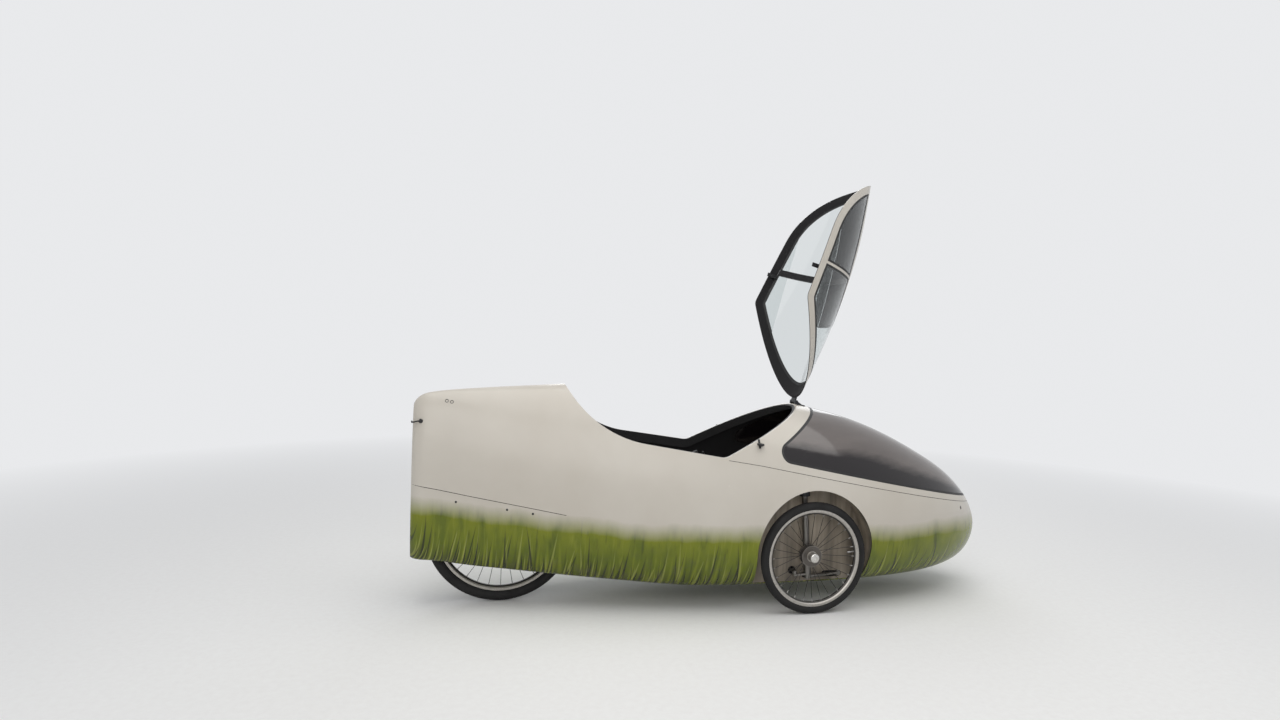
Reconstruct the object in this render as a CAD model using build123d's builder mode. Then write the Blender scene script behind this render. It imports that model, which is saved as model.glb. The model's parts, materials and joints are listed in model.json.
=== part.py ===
from build123d import *
from collections import namedtuple
from math import asin, atan2, cos, degrees, pi, radians, sin, tan
import os

# Velomobile: a fully faired recumbent tricycle with two front wheels and one rear wheel.
# Units are millimetres. +X is forward, +Y is left, +Z is up.
# The origin is on the ground, under the middle of the body's length.
# The canopy is modelled closed and then turned to its open stop, as the vehicle is stored.

os.makedirs("parts", exist_ok=True)


# Driving dimensions: body
length = 2740.0
wall = 5.0
glass_thickness = 3.0
shut_gap = 6.0
fit_gap = 0.3
half_reach = 600.0
high_reach = 1400.0

# Body stations: place as a share of half the length, then heights and half widths
Station = namedtuple("Station", "share low floor_half wide_z wide_half high")
stations = [
    Station(-1.000, 212, 24, 480, 62, 868),
    Station(-0.985, 205, 34, 478, 84, 897),
    Station(-0.940, 200, 44, 472, 100, 920),
    Station(-0.850, 186, 62, 460, 132, 934),
    Station(-0.700, 165, 92, 446, 180, 949),
    Station(-0.530, 144, 132, 430, 236, 964),
    Station(-0.310, 120, 180, 408, 304, 985),
    Station(-0.170, 108, 214, 396, 338, 979),
    Station(0.000, 104, 232, 382, 368, 955),
    Station(0.240, 104, 236, 362, 391, 896),
    Station(0.420, 104, 216, 350, 383, 844),
    Station(0.600, 104, 178, 340, 344, 760),
    Station(0.740, 110, 134, 330, 286, 667),
    Station(0.840, 126, 94, 320, 222, 587),
    Station(0.920, 156, 54, 308, 146, 497),
    Station(0.970, 202, 26, 298, 82, 414),
    Station(1.000, 268, 6, 294, 22, 322),
]

# Seam between the lower and the upper shell, side view
seam_tail = (-1450, 545)
seam_bend = (-730, 424)
seam_nose = (1450, 398)

# Cockpit edge, side view: it falls steeply from the tail deck, runs low and rises to the hinge
sill_deck = (-731, 972)
sill_bend = (-629, 761)
sill_low = (-62, 673)
sill_front = (378, 887)
sill_bend_radius = 440.0
sill_low_radius = 60.0
rim_depth = 45.0
rim_thickness = 8.0

# Front window, side view: rear lower corner, top of its rear edge, tip of its lower edge
window_corner = (117, 672)
window_top = (440, 872)
window_nose = (1285, 443)
window_corner_radius = 45.0
window_seal_width = 10.0

# Canopy
canopy_open_angle = 105.0
canopy_rim_width = 34.0
canopy_seal_width = 20.0
roof_edge_z = 845.0
roof_front_x = -11.0
rear_pane_bend = (-400, 772)
rear_pane_tip_x = -545.0
hoop_x = -240.0
hoop_width = 30.0
hoop_depth = 14.0
liner_thickness = 3.0
pane_corner_radius = 26.0
hinge_x = 384.0
hinge_lift = 10.0
hinge_pin_radius = 3.0
hinge_barrel_radius = 6.5
hinge_leaf = 4.0
hinge_leaf_gap = 18.0
hinge_leaf_length = 40.0
hinge_arm_half = 22.0
hinge_lug_width = 9.0
hinge_lug_radius = 7.5
hinge_foot_length = 36.0

# Wheels, steering and suspension
front_axle_x = 340.0
wheelbase = 1325.0
track = 700.0
front_wheel_z = 243.0
rear_wheel_z = 330.0
running_gap = 0.05
caster = 4.0
kingpin_y = 280.0
arch_z = 275.0
arch_radius = 264.0
arch_taper = 14.0
wheel_house_radius = 278.0
wheel_house_wall = 4.0
wheel_house_y = 246.0
tie_hole_radius = 18.0
arm_hole_radius = 14.0
strut_radius = 15.0
strut_low = -97.0
strut_tube_top = 150.0
gaiter_radius = 13.0
gaiter_top = 258.0
strut_rod_radius = 6.0
strut_rod_top = 290.0
strut_bush_radius = 24.0
stub_axle_radius = 7.5
stub_axle_boss = 13.5
stub_axle_end = 3.0
brake_plate_radius = 44.0
brake_plate_width = 6.0
steer_arm = 60.0
steer_arm_drop = 91.0
steer_arm_half = 9.0
steer_arm_height = 8.0
tie_pin_radius = 4.0
tie_pin_above = 2.5
tie_rod_radius = 6.0
tie_eye_radius = 9.5
tie_eye_height = 13.0
tie_drop = 79.0
open_pivot_gap = 0.3
ball_pin_radius = 6.0
ball_pin_length = 17.0
arm_radius = 8.0
arm_eye_radius = 12.0
arm_eye_height = 15.0
arm_inner_y = 162.0
arm_front_x = 520.0
arm_front_y = 238.0
cross_beam_x = 395.0
cross_beam_z = 205.0
cross_beam_radius = 17.0

# Tiller: distances up its post are from the middle of the tie rod
fork_low = 9.0
fork_height = 8.0
fork_reach = 66.0
fork_half = 12.0
fork_slot_start = 52.0
fork_pin_above = 2.0
fork_slot_gap = 0.6
bearing_low = 22.0
bearing_top = 84.0
bearing_wall = 6.0
collar_height = 8.0
collar_lip = 5.0
tiller_post_radius = 10.0
tiller_post_top = 100.0
tiller_grip = (-30, 545)
tiller_bar_half = 110.0
grip_radius = 15.0
grip_length = 105.0
grip_lean = 25.0
base_leg_half = 6.0
base_leg_rear_x = 160.0
base_leg_front_x = 202.0

# Wheels: hub and flange places run outwards along the axle from the middle of the rim
Wheel = namedtuple(
    "Wheel",
    "name x y z tyre tyre_half rim rim_half hub hub_in hub_out flange_in flange_out bore bore_out spokes",
)
front_hub_in = -48.0
wheels = [
    Wheel("front_left", front_axle_x, track / 2, front_wheel_z, front_wheel_z, 19, 211, 12.5,
          42, front_hub_in, 10, -44, -16, stub_axle_radius, stub_axle_end + 1, 28),
    Wheel("front_right", front_axle_x, -track / 2, front_wheel_z, front_wheel_z, 19, 211, 12.5,
          42, front_hub_in, 10, -44, -16, stub_axle_radius, stub_axle_end + 1, 28),
    Wheel("rear", front_axle_x - wheelbase, 0, rear_wheel_z, rear_wheel_z, 23, 285, 13.5,
          24, -34, 34, -28, 28, 6, 60, 32),
]
hub_end_share = 0.5
rim_bed_drop = 5.0
rim_depth_v = 20.0
rim_lip = 1.6
spoke_radius = 1.2
flange_lip = 4.0
flange_width = 3.0
spoke_sweep = 9.0

# Rear fork and shock
blade_y = 62.0
blade_thickness = 8.0
blade_pivot_x = -652.0
blade_pivot_z = 250.0
blade_pivot_half = 24.0
blade_tip_half = 16.0
shock_low = (-800, 290)
shock_high_z = 470.0
shock_radius = 13.0

# Drive
crank_x = 790.0
crank_z = 385.0
crank_length = 160.0
crank_y = 52.0
crank_arm_width = 12.0
crank_arm_height = 24.0
crank_spindle_radius = 8.0
bracket_shell_radius = 22.0
bracket_shell_half = 34.0
boom_radius = 20.0
boom_post_half = 9.0
boom_post_length = 24.0
chain_y = -43.0
chain_pitch = 12.7
chain_width = 7.0
chain_height = 9.0
chain_step = 1.0
ring_teeth = 46
ring_thickness = 3.0
tooth_height = 4.5
tooth_base = 9.0
tooth_slant = 62.0
ring_inner_radius = 74.0
ring_arms = 5
ring_arm_width = 16.0
ring_boss_radius = 18.0
chain_clearance = 0.6
pedal_length = 90.0
pedal_width = 78.0
pedal_height = 22.0
pedal_gap = 3.0
pedal_window = 22.0
pedal_bar = 11.0
pedal_spindle_radius = 5.0
sprocket_radius = 38.0
sprocket_width = 4.0

# Chain tubes: mouth beside the ring, low run under the seat, rise to the rear sprocket
tube_radius = 7.6
tube_bore = 6.3
tube_mouth_x = 560.0
tube_low_x = 98.0
tube_rise_x = -430.0
tube_end_x = -600.0
upper_tube_z = (163, 175)
lower_tube_z = (138, 150)
tube_bend_radius = 200.0
tube_clearance = 2.4

# Cockpit
bulkhead_x = -630.0
bulkhead_top = 680.0
bulkhead_thickness = 4.0
bulkhead_tongue_half = 50.0
bulkhead_tongue_top = 780.0
chain_slot = (186, 264)
chain_slot_half = 10.0
seat_line = [(-40, 238), (-250, 196), (-560, 600), (-596, 680)]
seat_radii = [110, 200]
seat_thickness = 6.0
seat_half = 150.0
seat_top_half = 112.0
seat_shoulder_z = 450.0
seat_corner_radius = 45.0
seat_pad_thickness = 25.0
seat_pad_margin = 18.0
seat_leg_places = [36, 127]
seat_leg_length = 20.0
seat_leg_y = (90, 125)
seat_bracket_z = (632, 652)
seat_bracket_half = 60.0
headrest_depth = 42.0
headrest_half = 80.0
headrest_z = (700, 790)
headrest_round = 14.0

# Small fittings
catch_x = -212.0
catch_half = 9.0
catch_y = (253, 257)
catch_z = (684, 736)
catch_foot_z = 714.0
mirror_x = 95.0
mirror_z = 731.0
mirror_lug_half = 10.0
mirror_lug_height = 8.0
mirror_reach = 325.0
mirror_root = 280.0
mirror_hole_y = 313.0
mirror_hole_radius = 3.05
indicator_x = 1179.0
indicator_z = 409.0
indicator_radius = 8.0
tail_lamp_z = 798.0
tail_lamp_radius = 14.0
tail_lamp_depth = 14.0
slot_half = 46.0
slot_reach = 345.0


# Places worked out from the driving dimensions
half_length = length / 2
rear_axle_x = front_axle_x - wheelbase
side = Plane.XZ
hinge_z = sill_front[1] + hinge_lift
hinge_axis = Axis((hinge_x, 0, hinge_z), (0, 1, 0))
lean = radians(caster)
steer_across = Vector(cos(lean), 0, sin(lean))
steer_up = Vector(-sin(lean), 0, cos(lean))


def steer_plane(y):
    """Plane on a kingpin at wheel centre height: its Z runs up the kingpin."""
    return Plane(origin=(front_axle_x, y, front_wheel_z), x_dir=steer_across, z_dir=steer_up)


def save(part, name):
    part.label = name
    export_step(part, f"parts/{name}.step")


def rod(start, end, radius):
    """Solid round bar between two points."""
    run = Vector(end) - Vector(start)
    with BuildPart() as bar:
        with BuildSketch(Plane(origin=start, z_dir=run)):
            Circle(radius)
        extrude(amount=run.length)
    return bar.part


def mirrored(part):
    return part.mirror(side)


def side_at(y):
    """Side view plane at a given Y. Extruding by a negative amount goes towards +Y."""
    return side.offset(-y)


# Closed body
def body_solid(inset):
    """Loft the closed body, canopy included, drawn in by a wall: thin ends are left out."""
    with BuildPart() as body:
        for station in [station for station in stations if station.wide_half > 3 * inset]:
            x = station.share * (half_length - inset)
            low_arm = station.wide_z - station.low - inset
            high_arm = station.high - station.wide_z - inset
            half = station.wide_half - inset
            floor_half = min(station.floor_half, half - inset)
            middle = (0, station.wide_z)
            floor_end = (floor_half, station.wide_z - low_arm)
            with BuildSketch(Plane(origin=(x, 0, 0), x_dir=(0, 1, 0), z_dir=(1, 0, 0))):
                with BuildLine():
                    Line((-floor_end[0], floor_end[1]), floor_end)
                    EllipticalCenterArc((floor_half, middle[1]), half - floor_half, low_arm, -90)
                    EllipticalCenterArc(middle, half, high_arm, 0)
                    EllipticalCenterArc(middle, half, high_arm, 90)
                    EllipticalCenterArc((-floor_half, middle[1]), half - floor_half, low_arm, 180)
                make_face()
        loft()
    return body.part


outer_body = body_solid(0)
inner_body = body_solid(wall)
glass_inner = body_solid(glass_thickness)
rim_inner = body_solid(wall + rim_thickness)
liner_inner = body_solid(wall + liner_thickness)
hoop_inner = body_solid(wall + hoop_depth)

# Side view outlines: straight edges with round corners, listed anticlockwise
def drawn_in(points, inset, closed=True):
    """Corners of an outline whose edges all move to the left, which is inwards, by one distance."""
    moved = []
    befores = points[-1:] + points[:-1]
    afters = points[1:] + points[:1]
    if not closed:
        befores[0] = (2 * points[0][0] - points[1][0], 2 * points[0][1] - points[1][1])
        afters[-1] = (2 * points[-1][0] - points[-2][0], 2 * points[-1][1] - points[-2][1])
    for before, corner, after in zip(befores, points, afters):
        into = Vector(corner[0] - before[0], corner[1] - before[1]).normalized()
        away = Vector(after[0] - corner[0], after[1] - corner[1]).normalized()
        reach = inset / (1 + into.dot(away))
        moved.append((corner[0] - reach * (into.Y + away.Y), corner[1] + reach * (into.X + away.X)))
    return moved


def side_prism(points, radii, inset=0.0):
    """Prism across the whole width, whose round corners keep their centres when drawn in."""
    turned_radii = []
    for before, corner, after, radius in zip(
        points[-1:] + points[:-1], points, points[1:] + points[:1], radii
    ):
        turn = (corner[0] - before[0]) * (after[1] - corner[1])
        turn -= (corner[1] - before[1]) * (after[0] - corner[0])
        turned_radii.append(max(radius - inset if turn > 0 else radius + inset, 0) if radius else 0)
    with BuildPart() as prism:
        with BuildSketch(side):
            with BuildLine():
                FilletPolyline(*drawn_in(points, inset), radius=turned_radii, close=True)
            make_face()
        extrude(amount=half_reach, both=True)
    return prism.part


def beyond(start, end, x):
    """Point at a given X on the straight line through two points."""
    return (x, start[1] + (end[1] - start[1]) / (end[0] - start[0]) * (x - start[0]))


deck_slope = (sill_deck[0] - sill_bend[0]) / (sill_deck[1] - sill_bend[1])
sill_high = (sill_bend[0] + deck_slope * (high_reach - sill_bend[1]), high_reach)
sill_far = beyond(sill_low, sill_front, half_length / 2)
sill_points = [sill_high, sill_bend, sill_low, sill_far, (sill_far[0], high_reach)]
sill_radii = [0, sill_bend_radius, sill_low_radius, 0, 0]

window_rise = (window_top[0] - window_corner[0]) / (window_top[1] - window_corner[1])
window_high = (window_corner[0] + window_rise * (high_reach - window_corner[1]), high_reach)
window_far = beyond(window_corner, window_nose, half_length + half_reach)
window_points = [window_corner, window_far, (window_far[0], high_reach), window_high]
window_radii = [window_corner_radius, 0, 0, 0]

lower_points = [(seam_tail[0], 0), (seam_nose[0], 0), seam_nose, seam_bend, seam_tail]

pane_sill = drawn_in(sill_points, shut_gap + canopy_rim_width)
pane_front_x = hoop_x + hoop_width / 2
pane_rear_x = hoop_x - hoop_width / 2
front_pane = [
    beyond(pane_sill[1], pane_sill[2], pane_front_x),
    pane_sill[2],
    pane_sill[3],
    pane_sill[4],
    (roof_front_x, pane_sill[4][1]),
    (roof_front_x, roof_edge_z),
    (pane_front_x, roof_edge_z),
]
front_pane_radii = [pane_corner_radius, sill_low_radius, 0, 0, 0, pane_corner_radius, pane_corner_radius]
rear_pane = [
    (pane_rear_x, roof_edge_z),
    (rear_pane_tip_x, roof_edge_z),
    rear_pane_bend,
    beyond(pane_sill[1], pane_sill[2], pane_rear_x),
]
rear_pane_radii = [pane_corner_radius, canopy_seal_width, sill_bend_radius / 2, pane_corner_radius]

sill_prism = side_prism(sill_points, sill_radii)
canopy_prism = side_prism(sill_points, sill_radii, shut_gap)
rim_prism = side_prism(sill_points, sill_radii, shut_gap + canopy_rim_width)
lining_prism = side_prism(sill_points, sill_radii, -rim_depth)
window_prism = side_prism(window_points, window_radii)
window_glass_prism = side_prism(window_points, window_radii, window_seal_width)
lower_prism = side_prism(lower_points, [0] * len(lower_points))

with BuildPart() as pane_prism:
    add(side_prism(front_pane, front_pane_radii))
    add(side_prism(rear_pane, rear_pane_radii))
with BuildPart() as pane_glass_prism:
    add(side_prism(front_pane, front_pane_radii, canopy_seal_width))
    add(side_prism(rear_pane, rear_pane_radii, canopy_seal_width))
with BuildPart() as hoop_prism:
    with BuildSketch(side):
        with Locations((hoop_x, roof_edge_z)):
            Rectangle(hoop_width, high_reach)
    extrude(amount=half_reach, both=True)


def arch_outline(radius, mode=Mode.ADD):
    """Wheel arch in side view, over the front axle: a round top on tapering sides."""
    foot = radius - arch_taper
    with Locations((front_axle_x, arch_z)):
        Circle(radius, mode=mode)
        Polygon((-radius, 0), (-foot, -arch_z), (foot, -arch_z), (radius, 0), align=None, mode=mode)


# Holes that pass through both shells: wheel arches, rear wheel slot, lamp seats
with BuildPart() as body_cuts:
    for hand in (1, -1):
        with BuildSketch(side_at(hand * (wheel_house_y + wheel_house_wall))):
            arch_outline(arch_radius)
        extrude(amount=-hand * half_reach)
    with BuildSketch(Plane.XY):
        with Locations((rear_axle_x, 0)):
            SlotOverall(2 * slot_reach, 2 * slot_half)
    extrude(amount=rear_wheel_z)
    with BuildSketch(side):
        with Locations((indicator_x, indicator_z)):
            Circle(indicator_radius)
    extrude(amount=half_reach, both=True)
    with BuildSketch(Plane.YZ.offset(-half_length - wall)):
        with Locations((0, tail_lamp_z)):
            Circle(tail_lamp_radius)
    extrude(amount=6 * wall)

with BuildPart() as lower_hull:
    add(outer_body)
    add(inner_body, mode=Mode.SUBTRACT)
    add(lower_prism, mode=Mode.INTERSECT)
    add(body_cuts.part, mode=Mode.SUBTRACT)
save(lower_hull.part, "lower_hull")

with BuildPart() as upper_hull:
    add(outer_body)
    add(inner_body, mode=Mode.SUBTRACT)
    add(lower_prism, mode=Mode.SUBTRACT)
    add(sill_prism, mode=Mode.SUBTRACT)
    add(window_prism, mode=Mode.SUBTRACT)
    add(body_cuts.part, mode=Mode.SUBTRACT)
save(upper_hull.part, "upper_hull")

with BuildPart() as front_window:
    add(outer_body)
    add(glass_inner, mode=Mode.SUBTRACT)
    add(window_glass_prism, mode=Mode.INTERSECT)
save(front_window.part, "front_window")

with BuildPart() as window_seal:
    add(outer_body)
    add(inner_body, mode=Mode.SUBTRACT)
    add(window_prism, mode=Mode.INTERSECT)
    add(window_glass_prism, mode=Mode.SUBTRACT)
save(window_seal.part, "window_seal")

with BuildPart() as cockpit_lining:
    add(inner_body)
    add(rim_inner, mode=Mode.SUBTRACT)
    add(lining_prism, mode=Mode.INTERSECT)
    add(sill_prism, mode=Mode.SUBTRACT)
    add(window_prism, mode=Mode.SUBTRACT)
save(cockpit_lining.part, "cockpit_lining")


# Canopy, closed and then turned to its open stop
def opened(part):
    return part.rotate(hinge_axis, canopy_open_angle)


with BuildPart() as canopy_frame:
    add(outer_body)
    add(inner_body, mode=Mode.SUBTRACT)
    add(canopy_prism, mode=Mode.INTERSECT)
    add(pane_prism.part, mode=Mode.SUBTRACT)
save(opened(canopy_frame.part), "canopy_frame")

with BuildPart() as canopy_seal:
    add(outer_body)
    add(inner_body, mode=Mode.SUBTRACT)
    add(pane_prism.part, mode=Mode.INTERSECT)
    add(pane_glass_prism.part, mode=Mode.SUBTRACT)
save(opened(canopy_seal.part), "canopy_seal")

with BuildPart() as canopy_glass:
    add(outer_body)
    add(glass_inner, mode=Mode.SUBTRACT)
    add(pane_glass_prism.part, mode=Mode.INTERSECT)
save(opened(canopy_glass.part), "canopy_glass")

with BuildPart() as roof_liner:
    add(inner_body)
    add(liner_inner, mode=Mode.SUBTRACT)
    add(rim_prism, mode=Mode.INTERSECT)
    with BuildSketch(side):
        with Locations((roof_front_x - half_reach, roof_edge_z + half_reach)):
            Rectangle(2 * half_reach, 2 * half_reach)
    extrude(amount=half_reach, both=True, mode=Mode.INTERSECT)
    add(hoop_prism.part, mode=Mode.SUBTRACT)
save(opened(roof_liner.part), "roof_liner")

with BuildPart() as canopy_hoop:
    add(inner_body)
    add(hoop_inner, mode=Mode.SUBTRACT)
    add(rim_prism, mode=Mode.INTERSECT)
    add(hoop_prism.part, mode=Mode.INTERSECT)
save(opened(canopy_hoop.part), "canopy_hoop")


# Canopy hinge: a leaf and a barrel on the canopy, a foot with two lugs and the pin on the nose deck
leaf_outer = body_solid(-hinge_leaf)
with BuildPart() as canopy_hinge:
    with Locations((hinge_x - hinge_leaf_gap - hinge_leaf_length / 2, 0, hinge_z)):
        Box(hinge_leaf_length, 2 * hinge_arm_half, 8 * hinge_lift)
    add(leaf_outer, mode=Mode.INTERSECT)
    add(outer_body, mode=Mode.SUBTRACT)
    with Locations((hinge_x - hinge_leaf_gap / 2 - hinge_leaf, 0, hinge_z - hinge_barrel_radius / 2)):
        Box(hinge_leaf_gap + 2 * hinge_leaf, 2 * hinge_arm_half, hinge_barrel_radius)
    with BuildSketch(side):
        with Locations((hinge_x, hinge_z)):
            Circle(hinge_barrel_radius)
    extrude(amount=hinge_arm_half, both=True)
    with BuildSketch(side):
        with Locations((hinge_x, hinge_z)):
            Circle(hinge_pin_radius + running_gap)
    extrude(amount=half_reach, both=True, mode=Mode.SUBTRACT)
save(opened(canopy_hinge.part), "canopy_hinge")

with BuildPart() as hinge_bracket:
    lug_inner_y = hinge_arm_half + 2 * fit_gap
    lug_outer_y = lug_inner_y + hinge_lug_width
    with Locations((hinge_x + hinge_lug_radius + hinge_foot_length / 2, 0, hinge_z)):
        Box(hinge_foot_length, 2 * lug_outer_y, 8 * hinge_lift)
    add(leaf_outer, mode=Mode.INTERSECT)
    for hand in (1, -1):
        with BuildSketch(side_at(hand * lug_inner_y)):
            with BuildLine():
                Polyline(
                    (hinge_x - hinge_lug_radius, hinge_z - 2 * hinge_lift),
                    (hinge_x + hinge_foot_length, hinge_z - 2 * hinge_lift),
                    (hinge_x + hinge_lug_radius, hinge_z),
                    (hinge_x - hinge_lug_radius, hinge_z),
                    close=True,
                )
            make_face()
            with Locations((hinge_x, hinge_z)):
                Circle(hinge_lug_radius)
        extrude(amount=-hand * hinge_lug_width)
    with BuildSketch(side):
        with Locations((hinge_x, hinge_z)):
            Circle(hinge_pin_radius)
    extrude(amount=lug_outer_y, both=True)
    add(outer_body, mode=Mode.SUBTRACT)
save(hinge_bracket.part, "hinge_bracket")

# Catches that hang from the lower canopy rims beside the hoop
with BuildPart() as canopy_catches:
    with Locations((catch_x, (catch_y[0] + catch_y[1]) / 2, (catch_z[0] + catch_z[1]) / 2)):
        Box(2 * catch_half, catch_y[1] - catch_y[0], catch_z[1] - catch_z[0])
    with Locations((catch_x, catch_y[0] + half_reach / 2, (catch_foot_z + catch_z[1]) / 2)):
        Box(2 * catch_half, half_reach, catch_z[1] - catch_foot_z)
    add(inner_body, mode=Mode.INTERSECT)
    mirror(about=side)
save(opened(canopy_catches.part), "canopy_catches")

# Front wheel houses, and the strut bushes under their roofs
tie_centre = steer_plane(0).from_local_coords((-steer_arm, 0, -tie_drop))
ball_centre = steer_plane(0).from_local_coords((0, 0, strut_low - ball_pin_length / 2))
arm_eye = Vector(ball_centre.X, kingpin_y, ball_centre.Z)
arm_inner = Vector(ball_centre.X, arm_inner_y, ball_centre.Z)
arm_front = Vector(arm_front_x, arm_front_y, ball_centre.Z)
arm_slant = (arm_front.X - arm_eye.X) / (arm_eye.Y - arm_front.Y)
wall_middle_y = wheel_house_y + wheel_house_wall / 2
with BuildPart() as wheel_houses:
    with BuildSketch(side_at(wheel_house_y)):
        arch_outline(wheel_house_radius + wheel_house_wall)
        with Locations((tie_centre.X, tie_centre.Z)):
            Circle(tie_hole_radius, mode=Mode.SUBTRACT)
        with Locations((arm_eye.X, arm_eye.Z)):
            Circle(arm_hole_radius, mode=Mode.SUBTRACT)
        with Locations((arm_eye.X + arm_slant * (arm_eye.Y - wall_middle_y), arm_eye.Z)):
            SlotOverall(2 * arm_slant * (arm_radius + wheel_house_wall), 2 * arm_hole_radius, mode=Mode.SUBTRACT)
    extrude(amount=-wheel_house_wall)
    with BuildSketch(side_at(wheel_house_y)):
        arch_outline(wheel_house_radius + wheel_house_wall)
        arch_outline(wheel_house_radius, mode=Mode.SUBTRACT)
    extrude(amount=-half_reach / 2)
    add(inner_body, mode=Mode.INTERSECT)
    mirror(about=side)
save(wheel_houses.part, "wheel_houses")

with BuildPart() as strut_bushes:
    with BuildSketch(steer_plane(kingpin_y).offset(gaiter_top + fit_gap)):
        Circle(strut_bush_radius)
        Circle(strut_rod_radius + running_gap, mode=Mode.SUBTRACT)
    extrude(amount=half_reach)
    with BuildSketch(side):
        arch_outline(wheel_house_radius)
    extrude(amount=half_reach, both=True, mode=Mode.INTERSECT)
    mirror(about=side)
save(strut_bushes.part, "strut_bushes")

# Knuckle: strut, gaiter, stub axle, brake plate and steering arm in one piece
hub_face_y = track / 2 + front_hub_in
plate_face_y = hub_face_y - fit_gap
with BuildPart() as knuckle:
    for low, top, radius in (
        (strut_low, strut_tube_top, strut_radius),
        (strut_tube_top, gaiter_top, gaiter_radius),
        (gaiter_top, strut_rod_top, strut_rod_radius),
        (strut_low - ball_pin_length, strut_low, ball_pin_radius),
    ):
        with BuildSketch(steer_plane(kingpin_y).offset(low)):
            Circle(radius)
        extrude(amount=top - low)
    with BuildSketch(steer_plane(kingpin_y).offset(-steer_arm_drop - steer_arm_height / 2)):
        with Locations((-steer_arm / 2, 0)):
            SlotCenterToCenter(steer_arm, 2 * steer_arm_half)
    extrude(amount=steer_arm_height)
    with BuildSketch(steer_plane(kingpin_y).offset(-steer_arm_drop)):
        with Locations((-steer_arm, 0)):
            Circle(tie_pin_radius)
    extrude(amount=steer_arm_drop - tie_drop + tie_eye_height / 2 + tie_pin_above)
    for start_y, end_y, radius in (
        (kingpin_y, plate_face_y, stub_axle_boss),
        (plate_face_y - brake_plate_width, plate_face_y, brake_plate_radius),
        (kingpin_y, track / 2 + stub_axle_end, stub_axle_radius),
    ):
        with BuildSketch(side_at(start_y)):
            with Locations((front_axle_x, front_wheel_z)):
                Circle(radius)
        extrude(amount=start_y - end_y)
save(mirrored(knuckle.part), "knuckle_right")
save(knuckle.part, "knuckle_left")

# Lower arms: one leg runs across to a block on the floor, one forward to the wheel house
with BuildPart() as lower_arms:
    add(rod(arm_eye, arm_inner, arm_radius))
    add(rod(arm_eye, arm_front, arm_radius))
    with BuildSketch(steer_plane(kingpin_y).offset(strut_low - fit_gap)):
        Circle(arm_eye_radius)
    extrude(amount=-arm_eye_height)
    with Locations((arm_inner.X, arm_inner.Y, arm_inner.Z - arm_eye_radius)):
        Box(2 * arm_eye_radius, 2 * arm_eye_radius, 4 * arm_eye_radius)
    with Locations((arm_front.X, wheel_house_y - arm_eye_radius, arm_front.Z)):
        Box(2 * arm_eye_radius, 2 * arm_eye_radius, 2 * arm_eye_radius)
    add(inner_body, mode=Mode.INTERSECT)
    with BuildSketch(steer_plane(kingpin_y).offset(strut_low)):
        Circle(ball_pin_radius + running_gap)
    extrude(amount=-2 * ball_pin_length, mode=Mode.SUBTRACT)
    mirror(about=side)
save(lower_arms.part, "lower_arms")

# Tie rod between the steering arms, with a pin that the tiller's fork pushes
tie_plane = Plane(origin=tie_centre, x_dir=steer_across, z_dir=steer_up)
with BuildPart() as tie_rod:
    with BuildSketch(side):
        with Locations((tie_centre.X, tie_centre.Z)):
            Circle(tie_rod_radius)
    extrude(amount=kingpin_y, both=True)
    with BuildSketch(tie_plane.offset(-tie_eye_height / 2)):
        with Locations((0, kingpin_y), (0, -kingpin_y)):
            Circle(tie_eye_radius)
    extrude(amount=tie_eye_height)
    with BuildSketch(tie_plane):
        Circle(tie_pin_radius)
    extrude(amount=fork_low + fork_height + fork_pin_above)
    with BuildSketch(tie_plane.offset(-tie_eye_height)):
        with Locations((0, kingpin_y)):
            Circle(tie_pin_radius + running_gap)
        with Locations((0, -kingpin_y)):
            Circle(tie_pin_radius + open_pivot_gap)
    extrude(amount=2 * tie_eye_height, mode=Mode.SUBTRACT)
save(tie_rod.part, "tie_rod")

# Tiller: fork, post, collar, leaning column and handlebar
tiller_foot = tie_plane.from_local_coords((-steer_arm, 0, 0))
tiller_plane = Plane(origin=tiller_foot, x_dir=steer_across, z_dir=steer_up)
column_foot = tiller_plane.from_local_coords((0, 0, tiller_post_top))
bar_centre = Vector(tiller_grip[0], 0, tiller_grip[1])
bar_end = Vector(0, tiller_bar_half, 0)
with BuildPart() as tiller:
    with BuildSketch(tiller_plane.offset(fork_low)):
        with Locations((fork_reach / 2, 0)):
            SlotCenterToCenter(fork_reach, 2 * fork_half)
        with Locations((fork_slot_start + fork_reach / 2, 0)):
            Rectangle(fork_reach, 2 * (tie_pin_radius + fork_slot_gap), mode=Mode.SUBTRACT)
    extrude(amount=fork_height)
    with BuildSketch(tiller_plane.offset(fork_low)):
        Circle(tiller_post_radius)
    extrude(amount=tiller_post_top - fork_low)
    with BuildSketch(tiller_plane.offset(bearing_top + fit_gap)):
        Circle(tiller_post_radius + collar_lip)
    extrude(amount=collar_height)
    with Locations(column_foot):
        Sphere(tiller_post_radius)
    add(rod(column_foot, bar_centre, tiller_post_radius))
    add(rod(bar_centre - bar_end, bar_centre + bar_end, tiller_post_radius))
save(tiller.part, "tiller")

grip_up = Vector(-sin(radians(grip_lean)), 0, cos(radians(grip_lean)))
with BuildPart() as tiller_grips:
    add(rod(bar_centre + bar_end - grip_up * grip_radius, bar_centre + bar_end + grip_up * grip_length, grip_radius))
    mirror(about=side)
    add(tiller.part, mode=Mode.SUBTRACT)
save(tiller_grips.part, "tiller_grips")

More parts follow.
